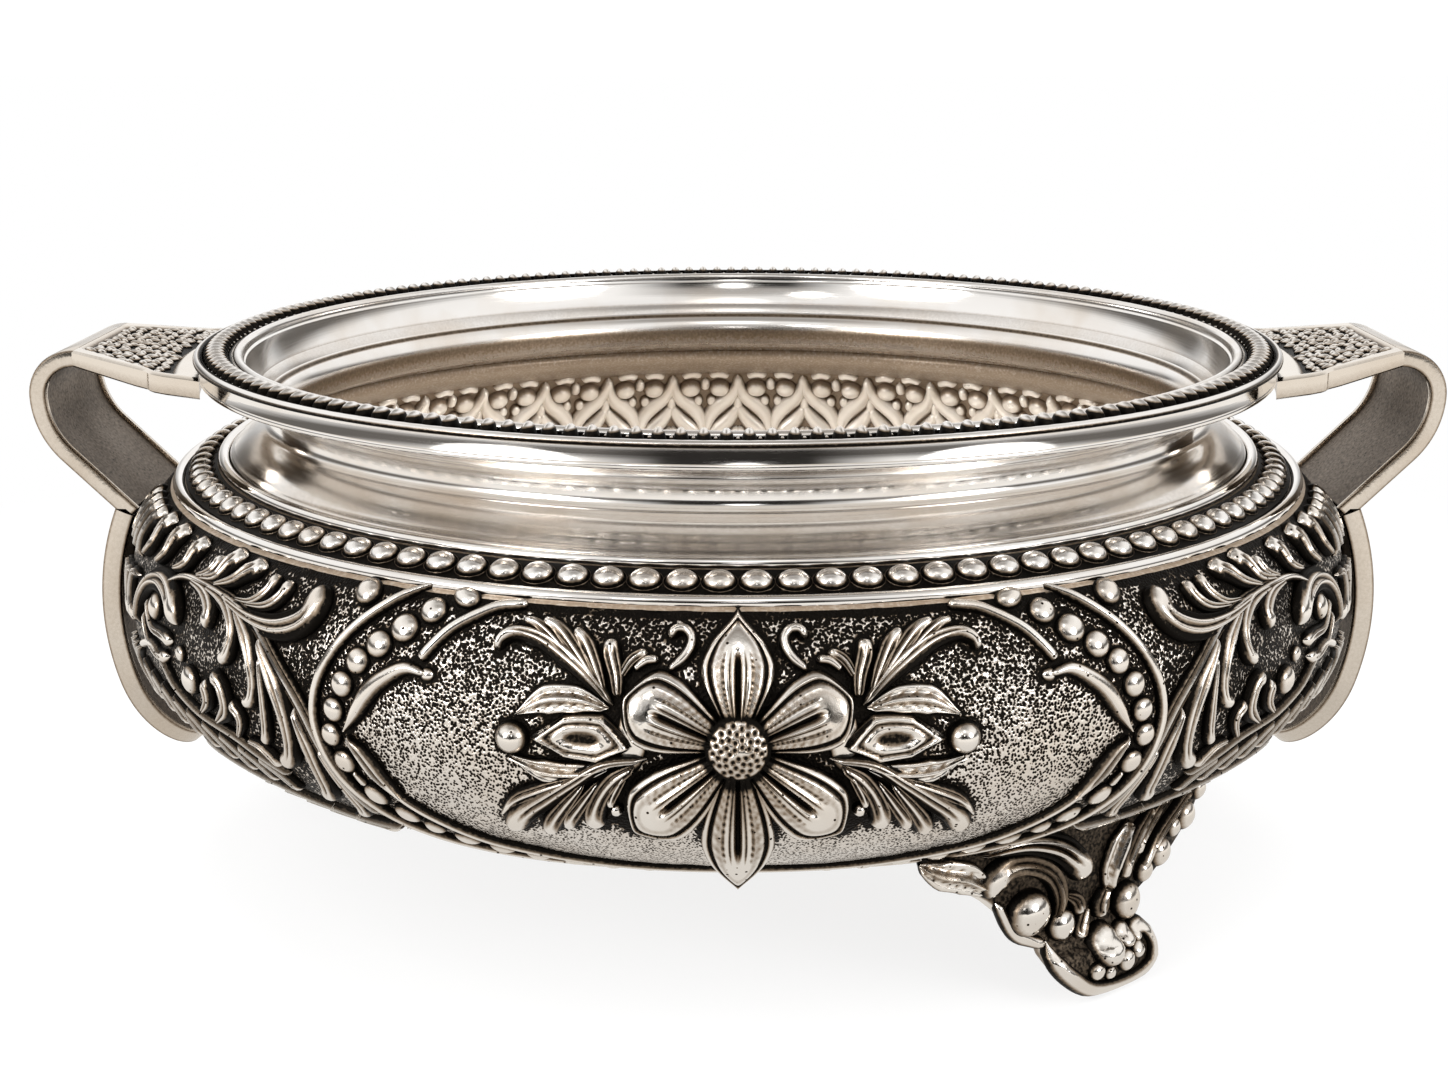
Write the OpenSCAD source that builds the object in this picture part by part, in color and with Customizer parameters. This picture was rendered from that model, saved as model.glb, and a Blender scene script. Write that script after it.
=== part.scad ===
// Footed offering bowl: a raised belly, a spun neck with a beaded rim, two strap
// handles on curved escutcheons, three cast bracket feet and applied flowers.
// Millimetres. Z is up, the table is z = 0 and the bowl's axis is x = y = 0.
// The front of the bowl faces -Y and the handles lie along X.

/* [Bowl body] */
// Radius of the belly at its widest ring
belly_r = 133.3; // [131:0.1:136]
// Gap between the table and the lowest point of the belly
under_gap = 21; // [18:0.5:25]
// Height from the lowest point of the belly up to its widest ring
belly_low_h = 43; // [40:0.5:46]
// Height that the upper curve of the belly would reach above the widest ring
belly_up_h = 47.2; // [45:0.1:50]
// Thickness of the raised sheet of the belly
body_wall = 2; // [1.5:0.1:2.5]
// Width of the round turn from the widest ring in to the edge of the sloping shoulder
shoulder_turn_w = 9.1; // [8:0.1:10.2]
// Height of the chasing raised on the belly
chase_h = 1.5; // [1:0.1:1.8]

/* [Neck] */
// Width of the skirt, from its outer edge in to the foot of the cove under the rim
skirt_w = 9.1; // [8.4:0.1:10]
// Thickness of the spun sheet of the neck
neck_wall = 2; // [1.6:0.1:2.4]
// Width of the skirt's lap on the shoulder
skirt_lap = 4; // [3:0.1:5]
// Thickness of the skirt at its outer edge
skirt_edge_t = 1.5; // [1:0.1:2]
// Height of the neck's crease above the skirt's outer edge
skirt_rise = 5; // [4:0.1:6]
// Height of the rim lip above the neck's crease
neck_h = 16.2; // [15:0.1:18]

/* [Rim] */
// Overhang of the rim lip beyond the foot of the cove
rim_overhang = 15.6; // [14.8:0.1:16.6]
// Radial width of the cast rim ring
rim_w = 8; // [7.4:0.1:9]
// Height of the rim ring's polished band
rim_h = 5.6; // [5:0.1:6.5]
// Width of the lip line outside the bead channel
lip_w = 1.9; // [1.6:0.1:2.2]
// Overhang of the lip beyond the foot of the polished band
lip_overhang = 1.1; // [0.8:0.1:1.4]
// Depth of the channel that holds the rim beads
rim_channel_d = 1.6; // [1.2:0.1:2]
// Radius of one rim bead
rim_bead_r = 1.8; // [1.5:0.05:2]
// Number of beads round the rim
rim_beads = 184; // [120:1:190]

/* [Shoulder mouldings] */
// Width of the sloping shoulder that the mouldings cover, outside the skirt
shoulder_band_w = 12.7; // [12:0.1:13.6]
// Width of the plain moulding beside the skirt
moulding_w = 2.6; // [2:0.1:3]
// Radius of the half round wire at the outer edge of the shoulder
shoulder_wire_r = 1.3; // [1:0.05:1.6]
// Thickness of the bead strip's base
strip_t = 0.6; // [0.4:0.1:1]
// Radius of one shoulder bead
shoulder_bead_r = 2.4; // [2:0.05:2.6]
// Number of beads round the shoulder
shoulder_beads = 116; // [80:1:120]

/* [Handles] */
// Reach of a handle's outermost face beyond the rim lip
handle_out = 34.5; // [32:0.5:40]
// Width of the handle strap
strap_w = 41; // [36:0.5:46]
// Thickness of the handle strap
strap_t = 3.6; // [3:0.1:4.4]
// Radius of the strap's upper bend, on its outer face
strap_bend_r = 10; // [8:0.5:12]
// Radius of the strap's long outer curve, on its outer face
strap_side_r = 20; // [18:0.5:24]
// Angle by which the lower strap leans in from the vertical
strap_lean = 45; // [42:1:50]
// Depth of the strap's top below the rim lip
strap_top_drop = 0.5; // [0.2:0.1:2]
// Width of the fan shaped top plate beside the rim
plate_w = 64; // [56:0.5:70]
// Thickness of the top plate
plate_t = 4.5; // [4:0.1:5.4]
// Drop of the top plate's upper face from the bend down to the rim
plate_drop = 3.6; // [3:0.1:4.4]
// Distance of the top plate's corners out from the foot of the rim's band
plate_corner_out = 6.1; // [4.6:0.1:9]
// Radius of those corners
plate_corner_r = 3; // [2:0.5:4]

/* [Escutcheons] */
// Width of the tongue shaped escutcheon
tongue_w = 41; // [36:0.5:46]
// Depth of the escutcheon's bottom edge below the widest ring of the belly
tongue_down = 45; // [42:0.5:50]
// Thickness of the escutcheon
tongue_t = 4.3; // [3.6:0.1:5]
// Radius of the escutcheon's curved outer face
tongue_r = 59; // [57:0.5:61]
// Outward reach of that face beyond the widest ring of the belly
tongue_reach = 7.1; // [6.6:0.1:9]
// Drop from the widest ring of the belly to the escutcheon's outermost line
tongue_drop = 7.3; // [6:0.1:9]
// Width of the solder saddle between the escutcheon and the belly
saddle_w = 18; // [12:0.5:24]
// Height of the solder saddle
saddle_h = 24; // [16:0.5:28]

/* [Feet] */
// Inset of a leg's face from the widest ring of the belly
foot_inset = 20.9; // [18.5:0.1:23.5]
// Half the spread of a foot's wings
wing_reach = 40; // [36:0.5:44]
// Height of a wing's tip above the table
wing_tip_h = 31; // [29:0.5:33]
// Thickness of a wing, measured towards the bowl's axis
wing_t = 6; // [4.5:0.1:8]
// Thickness of the leg, measured towards the bowl's axis
leg_t = 7; // [6:0.1:9]
// Half width of the toe
toe_half_w = 14.5; // [12:0.5:17]
// Outward reach of the toe beyond the leg's face
toe_reach = 5; // [4:0.2:6.6]
// Height of the rolled toe
toe_h = 10; // [9:0.2:12]
// Direction of the front foot, counted from the front towards +X
front_right_foot_angle = 37.5; // [30:0.5:45]
// Direction of the right hand back foot
back_right_foot_angle = 146.5; // [140:0.5:152]
// Direction of the left hand back foot
back_left_foot_angle = 248; // [240:0.5:256]

/* [Flowers and sprays] */
// Reach of the long side petals from the flower's centre
petal_reach = 24.4; // [22:0.2:27]
// Width of a petal
petal_w = 11.6; // [10:0.1:13]
// Thickness of a petal where it stands clear of the belly
petal_t = 4.5; // [4:0.1:5.5]
// Radius of the flower's dished outer face, up and down
flower_curve_r = 35; // [34:0.5:38]
// Outward reach of the flower beyond the widest ring of the belly
flower_stand = 3.8; // [3.2:0.1:4.4]
// Height of the flower's centre above the widest ring of the belly
flower_rise = 2.8; // [1:0.1:4]
// Radius of the pitted boss in the flower's centre
boss_r = 5; // [4.2:0.1:5.6]
// Height of the boss above the petals
boss_h = 3; // [2:0.1:4]
// Reach of a leaf spray from the flower's centre
spray_reach = 41; // [38:0.5:44]
// Thickness of a leaf spray
spray_t = 2.2; // [1.6:0.1:3]
// Radius of the ball at the spray's outer end
spray_ball_r = 2.8; // [2.2:0.1:3.4]

/* [Hidden] */
// Solder gap left between pieces that are seated on one another
seat_gap = 0.1;
// Length by which cutting shapes run past what they cut
overrun = 20;
// Power of the curve that gives the belly its full, boxy roundness
belly_power = 2.5;
// Steps in a quarter of the belly's curve, and in a short arc
belly_steps = 30;
arc_steps = 8;
// Rise of the shoulder for each millimetre towards the axis
shoulder_slope = 0.402;
// Circle facets of turned pieces, of wires and beads, and of flat outlines
turned_fn = 120;
wire_fn = 12;
bead_fn = 24;
outline_fn = 64;

// Height of the plain throat wall below and above the crease
throat_low_drop = 2.1;
throat_top_rise = 4.4;
// Bow of the inside flare and of the cove under the rim
flare_bow = 0.8;
cove_bow = 2.2;
// Radius of the bright bead that edges the flare
fillet_r = 1.1;
// Width of the rim ring's inner ledge and its depth below the lip
ledge_w = 0.5;
ledge_drop = 0.7;
// Height of the lip line and radius of the wire under the polished band
lip_line_h = 1.1;
rim_wire_r = 0.7;
// Bow of the polished band
band_bow = 0.35;
// Thickness of the wire that carries the rim beads
rim_strip_t = 0.3;

// Height of the flower's dished face centre below the widest ring
flower_curve_drop = 1.6;
// Directions of the petals, and their reach as shares of petal_reach
petal_angles = [90, 159, 222, 270, 318, 21];
petal_reach_shares = [0.84, 0.87, 1, 1.25, 1, 0.87];
// Radius of the disc that joins the petals, as a share of the boss
petal_disc_share = 1.6;
// Radius of the boss's domed top, as a share of the boss
boss_dome_share = 1.3;

// Leaves of a left hand spray: root x and z, tip x and z, width, as shares of spray_reach
leaf_shares = [
  [-0.41, -0.04, -1.00, 0.35, 0.16],
  [-0.66, 0.12, -0.55, 0.40, 0.11],
  [-0.41, -0.04, -0.90, 0.19, 0.13],
  [-0.41, -0.04, -0.89, -0.03, 0.19],
  [-0.41, -0.04, -0.93, -0.12, 0.11],
  [-0.41, -0.04, -1.00, -0.54, 0.20],
  [-0.41, -0.04, -0.56, -0.35, 0.13]
];
spray_hub_share = [-0.43, -0.045, 0.075];
spray_ball_share = [-0.925, -0.027];

// Front view of a foot, from each end of the sole out to the wing's tip on that side:
// x as shares of toe_half_w or of wing_reach, z as shares of toe_h or of wing_tip_h
right_sole_shares = [[0.7, 0], [0.94, 0.18], [1, 0.5], [0.93, 0.9], [0.84, 1.25]];
left_sole_shares = [[-0.25, 0], [-0.5, 0.38], [-0.72, 0.7], [-0.85, 1], [-0.92, 1.25]];
right_wing_shares = [
  [0.36, 0.54], [0.48, 0.6], [0.6, 0.67], [0.75, 0.78], [0.9, 0.92], [0.98, 1.03], [1, 1.14]
];
left_wing_shares = [[-0.45, 0.54], [-0.54, 0.62], [-0.67, 0.77], [-0.83, 0.92], [-0.97, 1.05], [-1, 1.14]];
// Side view of a leg: r as shares of leg_t inward of the face, z as shares of toe_h
leg_back_shares = [[1.1, 3], [0.92, 2], [0.86, 1.1], [1.02, 0.5], [0.95, 0]];
// Side view of a toe: r as shares of toe_reach beyond the face, z as shares of toe_h
toe_front_shares = [[0.45, 0], [0.8, 0.15], [1, 0.45], [0.98, 0.75], [0.75, 1], [0.35, 1.12], [0.05, 1.5]];
// Outward lean of a wing's face from the toe up to the belly, as a share of wing_t
wing_lean_share = 0.35;
// Beads on a foot's face: x as shares of wing_reach, z and radius as shares of wing_tip_h
foot_bead_shares = [
  [-0.74, 0.92, 0.09], [-0.43, 0.68, 0.165], [-0.24, 0.54, 0.095],
  [0.2, 0.5, 0.1], [0.34, 0.62, 0.075], [0.48, 0.73, 0.085], [0.68, 0.86, 0.085]
];
// Berries in the toe: x as shares of toe_half_w, z and radius as shares of toe_h
berry_shares = [[-0.18, 1.02, 0.34], [0.28, 1.02, 0.26], [0.08, 0.66, 0.27], [0.42, 0.66, 0.22]];

shoulder_r = belly_r - shoulder_turn_w;
skirt_r = shoulder_r - shoulder_band_w;
neck_r = skirt_r - skirt_w;
lip_r = neck_r + rim_overhang;
foot_r = belly_r - foot_inset;
handle_reach = lip_r + handle_out;

// Chasing raised on the belly, one quarter of it left of the front flower. Each line runs
// through points that hold degrees round from the flower, height from the widest ring as
// a share of the belly's upper or lower height, and half the line's width there
chased_lines = [
  // Frame of the panel and its crescent
  [[27.7, 0.45, 1.1], [31, 0.34, 1.1], [33.6, 0.14, 1.1], [34, -0.06, 1.1], [32, -0.28, 1.1],
   [28, -0.48, 1.1], [24.2, -0.58, 1.1]],
  [[23.9, 0.23, 1], [27.1, 0.2, 1.8], [29.5, 0.06, 1.7]],
  // Stem beside the panel, with its hooked leaves and the scroll nearer the handle
  [[31, -0.41, 1.8], [35.4, 0.02, 1.7], [38.5, 0.17, 1.5], [44.5, 0.31, 1.2], [51, 0.34, 1],
   [57, 0.28, 0.8]],
  [[45.5, 0.32, 1], [41.4, 0.285, 1.8], [38, 0.29, 2.2], [36, 0.35, 2.8]],
  [[43.2, 0.2, 1], [40.7, 0.06, 2.5], [41.6, -0.03, 1.6]],
  [[38.6, 0.05, 1], [37.2, -0.08, 2.6], [37.8, -0.24, 1.9]],
  [[63.5, 0.02, 1], [61.5, 0.2, 1.6], [57, 0.2, 1.8]],
  [[39.2, -0.36, 1.2], [46, -0.27, 1.2], [52, -0.2, 1.1], [60, -0.12, 1]]
];
// Pearls and buds of the same quarter: degrees, share of the height, and radius
chased_pearls = [
  [24.3, 0.42, 2.6], [26.3, 0.365, 2.8], [28.3, 0.3, 2.7], [30, 0.233, 2.5], [31.2, 0.14, 2.5],
  [32.1, 0.035, 2.4], [32.5, -0.07, 2.4], [31.5, -0.18, 2.5], [29.4, -0.32, 2.4], [27.3, -0.4, 2.3],
  [25.4, -0.46, 2], [35.9, 0.37, 3], [39.7, 0.4, 2.2], [43.9, 0.42, 2.4], [47.3, 0.41, 2.7],
  [53.6, 0.4, 2.8], [59, 0.39, 3], [48.2, 0.2, 2.6], [54, 0.1, 2.9], [50.6, -0.05, 3],
  [45.6, -0.04, 2.4], [34.5, -0.24, 2.4], [66.5, 0.3, 3], [68, 0, 3],
  [34.8, -0.36, 2.2], [46, 0.13, 2.1], [55.4, 0, 2.2], [63, 0.4, 2.8], [66.8, -0.28, 2.5],
  [71.5, 0.36, 2.6], [72.5, 0.08, 2.6], [73, -0.3, 2.5]
];
// Short leaves in a row under the scroll: first one's degrees and share, the step from one
// to the next, the radius and how many there are
leaf_row = [39.8, -0.44, 3.2, 0.022, 2.2, 7];
row_pearls = [for (i = [0:leaf_row[5] - 1])
  [leaf_row[0] + i * leaf_row[2], leaf_row[1] + i * leaf_row[3], leaf_row[4]]];
// Steps in a quarter of the curve of the chasing's face, and in the round end of a line
chase_steps = 8;
cap_steps = 4;

belly_z = under_gap + belly_low_h;
flower_z = belly_z + flower_rise;
flower_curve_z = belly_z - flower_curve_drop;
flower_face_r = belly_r + flower_stand;

function curve_rise(r, height) = height * pow(1 - pow(r / belly_r, belly_power), 1 / belly_power);
shoulder_z = belly_z + curve_rise(shoulder_r, belly_up_h);
function cone_z(r) = shoulder_z + (shoulder_r - r) * shoulder_slope;

mouth_r = skirt_r - skirt_lap;
skirt_edge_z = cone_z(skirt_r) + skirt_edge_t;
crease_z = skirt_edge_z + skirt_rise;
lip_z = crease_z + neck_h;
throat_r = neck_r - neck_wall;
rim_in_r = lip_r - rim_w;
rim_bottom_z = lip_z - rim_h;
rim_foot_r = lip_r - lip_overhang;
channel_out_r = lip_r - lip_w;
channel_in_r = rim_in_r + ledge_w;
channel_z = lip_z - rim_channel_d;
flare_top_r = rim_in_r - seat_gap - 2 * fillet_r;

moulding_mid_r = skirt_r + seat_gap + moulding_w / 2;
wire_mid_r = shoulder_r - shoulder_wire_r * sqrt(2);
strip_in_r = moulding_mid_r + moulding_w / 2 + seat_gap;
strip_out_r = wire_mid_r - shoulder_wire_r - seat_gap;
strip_mid_r = (strip_in_r + strip_out_r) / 2;

strap_top_z = lip_z - strap_top_drop;
plate_corner_x = rim_foot_r + plate_corner_out;
bend_x = handle_reach - strap_bend_r;
bend_z = strap_top_z - strap_bend_r;

tongue_mid_x = belly_r + tongue_reach - tongue_r;
tongue_mid_z = belly_z - tongue_drop;

// The strap's straight run starts at lean_start on its outer face and follows lean_way. It
// stands on the escutcheon's top edge, at the height where it meets the outer face there
lean_way = [-sin(strap_lean), -cos(strap_lean)];
lean_start = [handle_reach - strap_side_r * (1 - cos(strap_lean)), bend_z - strap_side_r * sin(strap_lean)];
lean_off = lean_start - [tongue_mid_x, tongue_mid_z];
lean_near = lean_off * lean_way;
lean_run = -lean_near - sqrt(pow(lean_near, 2) - lean_off * lean_off + tongue_r * tongue_r);
joint_z = lean_start[1] + lean_run * lean_way[1];

silver = [0.74, 0.72, 0.69];
polished = [0.86, 0.84, 0.81];
oxidised = [0.5, 0.48, 0.46];

// Points of an arc round a centre, from one angle to another
function arc(centre, r, from, to, steps = arc_steps) =
  [for (i = [0:steps])
    let (a = from + (to - from) * i / steps)
      centre + r * [cos(a), sin(a)]];

// Points of a shallow arc from p to q that bows out to the left of the way there,
// or to the right of it where rise is negative
function bow(p, q, rise) =
  let (chord = norm(q - p),
       r = chord * chord / (8 * rise) + rise / 2,
       half = asin(chord / (2 * r)),
       along = (q - p) / chord,
       left = [-along[1], along[0]],
       mid = (p + q) / 2)
  [for (i = [0:arc_steps])
    let (a = half * (2 * i / arc_steps - 1))
      mid + along * r * sin(a) + left * (r * cos(a) - r + rise)];

// Points of the belly's half outline from its lowest point up, grown by grow
function belly_points(grow, steps = belly_steps) = concat(
  [for (i = [0:steps])
    let (a = 90 - 90 * i / steps)
      [(belly_r + grow) * pow(cos(a), 2 / belly_power),
       belly_z - (belly_low_h + grow) * pow(sin(a), 2 / belly_power)]],
  [for (i = [1:steps])
    let (a = 90 * i / steps)
      [(belly_r + grow) * pow(cos(a), 2 / belly_power),
       belly_z + (belly_up_h + grow) * pow(sin(a), 2 / belly_power)]]
);

// The flat region under the sloping shoulder, raised by lift
module under_shoulder(lift) {
  out_r = belly_r + overrun;
  polygon([[0, 0], [out_r, 0], [out_r, cone_z(out_r) + lift], [0, cone_z(0) + lift]]);
}

// Half section of the filled belly, grown by grow
module belly_section(grow) {
  intersection() {
    polygon(belly_points(grow));
    under_shoulder(grow);
  }
}

// The filled belly with its solder gap, which cuts the seats of what sits on it
module belly_seat() {
  rotate_extrude($fn = turned_fn) belly_section(seat_gap);
}

// The filled space under the sloping shoulder, with the solder gap
module shoulder_seat() {
  rotate_extrude($fn = turned_fn) under_shoulder(seat_gap);
}

// Half section of the sheet that the chasing is raised from, up to the chasing's face
module chase_section() {
  difference() {
    polygon(belly_points(chase_h, chase_steps));
    polygon(belly_points(-body_wall / 2, chase_steps));
    translate([0, -belly_low_h]) square([neck_r, lip_z + belly_low_h]);
  }
}

// The radius of the belly's outer face at a share of its upper or lower height
function face_r(share) = belly_r * pow(1 - pow(abs(share), belly_power), 1 / belly_power);
function face_z(share) = belly_z + share * (share > 0 ? belly_up_h : belly_low_h);

// Direction of a line of points at one of them, and a line beside it at given distances
function line_way(points, i) =
  let (way = points[min(i + 1, len(points) - 1)] - points[max(i - 1, 0)]) way / norm(way);
function line_beside(points, halves, side) =
  [for (i = [0:len(points) - 1])
    let (way = line_way(points, i))
      points[i] + side * halves[i] * [-way[1], way[0]]];

// One line of the chasing, cut out of its section by a prism that faces the bowl's axis
module chased_line(line) {
  last = len(line) - 1;
  middle = (line[0][0] + line[last][0]) / 2;
  points = [for (p = line) [face_r(p[1]) * sin(middle - p[0]), face_z(p[1])]];
  halves = [for (p = line) p[2]];
  way = line_way(points, last);
  heading = atan2(way[1], way[0]);
  right = line_beside(points, halves, -1);
  rotate([0, 0, -middle]) rotate([90, 0, 0]) linear_extrude(height = belly_r + overrun)
    polygon(concat(
      line_beside(points, halves, 1),
      arc(points[last], halves[last], heading + 90, heading - 90, cap_steps),
      [for (i = [last:-1:0]) right[i]]
    ));
}

module chased_pearl(p) {
  rotate([0, 0, -p[0]])
    translate([0, p[2] - face_r(p[1]) - chase_h, face_z(p[1])]) sphere(r = p[2], $fn = bead_fn);
}

module chased_quarter() {
  intersection() {
    rotate_extrude($fn = turned_fn) chase_section();
    for (line = chased_lines) chased_line(line);
  }
  for (p = concat(chased_pearls, row_pearls)) chased_pearl(p);
}

module bowl_body() {
  color(oxidised) {
    rotate_extrude($fn = turned_fn) difference() {
      belly_section(0);
      belly_section(-body_wall);
      translate([0, belly_z]) square([mouth_r, lip_z]);
    }
    chased_quarter();
    mirrored() chased_quarter();
    at_back() chased_quarter();
    at_back() mirrored() chased_quarter();
  }
}

module neck_collar() {
  color(polished) rotate_extrude($fn = turned_fn) {
    polygon(concat(
      [[skirt_r, cone_z(skirt_r) + seat_gap],
       [skirt_r, skirt_edge_z]],
      [[neck_r, crease_z]],
      bow([neck_r, crease_z], [rim_in_r - seat_gap, rim_bottom_z], cove_bow),
      [[rim_in_r - seat_gap, lip_z - fillet_r],
       [flare_top_r, lip_z - fillet_r * 2]],
      bow([flare_top_r, lip_z - fillet_r * 2], [throat_r, crease_z + throat_top_rise], flare_bow),
      [[throat_r, crease_z - throat_low_drop],
       [mouth_r, cone_z(mouth_r) + seat_gap]]
    ));
    translate([rim_in_r - seat_gap - fillet_r, lip_z - fillet_r]) circle(r = fillet_r, $fn = wire_fn);
  }
}

module rim_ring() {
  wire = arc([rim_foot_r - rim_wire_r, rim_bottom_z + rim_wire_r], rim_wire_r, 60, -90);
  color(polished) rotate_extrude($fn = turned_fn) polygon(concat(
    [[rim_in_r, rim_bottom_z],
     [rim_in_r, lip_z - ledge_drop],
     [channel_in_r, lip_z - ledge_drop],
     [channel_in_r, channel_z],
     [channel_out_r, channel_z],
     [channel_out_r, lip_z],
     [lip_r - lip_line_h / 2, lip_z],
     [lip_r, lip_z - lip_line_h / 2],
     [lip_r, lip_z - lip_line_h]],
    bow([rim_foot_r, lip_z - lip_line_h], wire[0], -band_bow),
    [for (i = [1:arc_steps]) wire[i]]
  ));
}

module rim_bead_wire() {
  mid_r = (channel_in_r + channel_out_r) / 2;
  color(silver) difference() {
    union() {
      rotate_extrude($fn = turned_fn)
        translate([channel_in_r + seat_gap, channel_z])
          square([channel_out_r - channel_in_r - 2 * seat_gap, seat_gap + rim_strip_t]);
      for (i = [0:rim_beads - 1])
        rotate([0, 0, i * 360 / rim_beads])
          translate([mid_r, 0, channel_z]) sphere(r = rim_bead_r, $fn = bead_fn);
    }
    translate([0, 0, channel_z + seat_gap - lip_z]) cylinder(r = lip_r + overrun, h = lip_z, $fn = turned_fn);
  }
}

module shoulder_moulding() {
  color(silver) rotate_extrude($fn = turned_fn) difference() {
    translate([moulding_mid_r, cone_z(moulding_mid_r) + skirt_edge_t / 2])
      circle(r = moulding_w / 2, $fn = wire_fn);
    under_shoulder(seat_gap);
  }
}

module shoulder_bead_strip() {
  color(silver) difference() {
    union() {
      rotate_extrude($fn = turned_fn) intersection() {
        under_shoulder(seat_gap + strip_t);
        translate([strip_in_r, belly_z]) square([strip_out_r - strip_in_r, lip_z]);
      }
      for (i = [0:shoulder_beads - 1])
        rotate([0, 0, i * 360 / shoulder_beads])
          translate([strip_mid_r, 0, cone_z(strip_mid_r) + strip_t])
            sphere(r = shoulder_bead_r, $fn = bead_fn);
    }
    shoulder_seat();
  }
}

module shoulder_wire() {
  color(silver) rotate_extrude($fn = turned_fn) difference() {
    translate([wire_mid_r, cone_z(wire_mid_r) + shoulder_wire_r / 4])
      circle(r = shoulder_wire_r, $fn = wire_fn);
    belly_section(seat_gap);
  }
}

// Plan of half a top plate's outline, from the bowl's axis out to the bend
function plate_side(side) =
  [[neck_r, side * plate_w / 2],
   [plate_corner_x - plate_corner_r, side * plate_w / 2],
   [plate_corner_x, side * (plate_w / 2 - plate_corner_r / 4)],
   [plate_corner_x + plate_corner_r / 2, side * (plate_w / 2 - plate_corner_r)],
   [bend_x - seat_gap, side * strap_w / 2]];

module handle_top_plate() {
  rim_x = rim_foot_r;
  fall = plate_drop / (bend_x - rim_x);
  function top_z(x) = strap_top_z - (bend_x - x) * fall;
  color(silver) difference() {
    intersection() {
      rotate([90, 0, 0]) translate([0, 0, -plate_w]) linear_extrude(height = 2 * plate_w)
        polygon([
          [neck_r, top_z(neck_r) - plate_t], [bend_x, top_z(bend_x) - plate_t],
          [bend_x, top_z(bend_x)], [neck_r, top_z(neck_r)]
        ]);
      linear_extrude(height = 2 * lip_z)
        polygon(concat(plate_side(-1), [for (i = [4:-1:0]) plate_side(1)[i]]));
    }
    cylinder(r = rim_foot_r + seat_gap, h = 2 * lip_z, $fn = turned_fn);
  }
}

// The strap's outer or inner line, at a depth below its outer face
function strap_line(depth) = concat(
  [[bend_x, strap_top_z - depth]],
  arc([bend_x, bend_z], strap_bend_r - depth, 90, 0),
  arc([handle_reach - strap_side_r, bend_z], strap_side_r - depth, 0, -strap_lean),
  [[handle_reach - strap_side_r, bend_z]
    + (strap_side_r - depth) * [cos(strap_lean), -sin(strap_lean)]
    + 2 * strap_side_r * [-sin(strap_lean), -cos(strap_lean)]]
);

module handle_strap() {
  inner = strap_line(strap_t);
  last = len(inner) - 1;
  color(silver) difference() {
    rotate([90, 0, 0]) translate([0, 0, -strap_w / 2]) linear_extrude(height = strap_w)
      polygon(concat(strap_line(0), [for (i = [last:-1:0]) inner[i]]));
    translate([0, -strap_w, joint_z + seat_gap - lip_z]) cube([handle_reach, 2 * strap_w, lip_z]);
  }
}

// A cylinder along Y round the centre of the escutcheon's curve
module tongue_cylinder(r) {
  translate([tongue_mid_x, 0, tongue_mid_z]) rotate([90, 0, 0])
    cylinder(r = r, h = 2 * plate_w, center = true, $fn = turned_fn);
}

module tongue_outline() {
  half = tongue_w / 2;
  bottom = belly_z - tongue_down;
  translate([0, bottom + half]) circle(r = half, $fn = outline_fn);
  translate([-half, bottom + half]) square([tongue_w, joint_z - bottom - half]);
}

module escutcheon() {
  color(silver) intersection() {
    difference() {
      tongue_cylinder(tongue_r);
      tongue_cylinder(tongue_r - tongue_t);
    }
    rotate([90, 0, 90]) translate([0, 0, tongue_mid_x])
      linear_extrude(height = 2 * tongue_r) tongue_outline();
  }
}

module escutcheon_saddle() {
  color(silver) difference() {
    intersection() {
      translate([tongue_mid_x, -saddle_w / 2, belly_z - saddle_h / 2])
        cube([2 * tongue_r, saddle_w, saddle_h]);
      tongue_cylinder(tongue_r - tongue_t - seat_gap);
    }
    belly_seat();
  }
}

// Lower edge of a foot on one side, out to the wing's tip
function foot_edge(sole_shares, wing_shares) = concat(
  [for (p = sole_shares) [p[0] * toe_half_w, p[1] * toe_h]],
  [for (p = wing_shares) [p[0] * wing_reach, p[1] * wing_tip_h]]
);

// Front view of a whole foot with its wings
module foot_outline() {
  left = foot_edge(left_sole_shares, left_wing_shares);
  last = len(left) - 1;
  polygon(concat(
    foot_edge(right_sole_shares, right_wing_shares),
    [[wing_reach, belly_z], [-wing_reach, belly_z]],
    [for (i = [last:-1:0]) left[i]]
  ));
}

// A point on a foot's face: x across the front, z up, and out beyond the face
module on_foot_face(x, z, out) {
  rotate([0, 0, x / foot_r * 180 / PI]) translate([0, -foot_r - out, z]) children();
}

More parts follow.
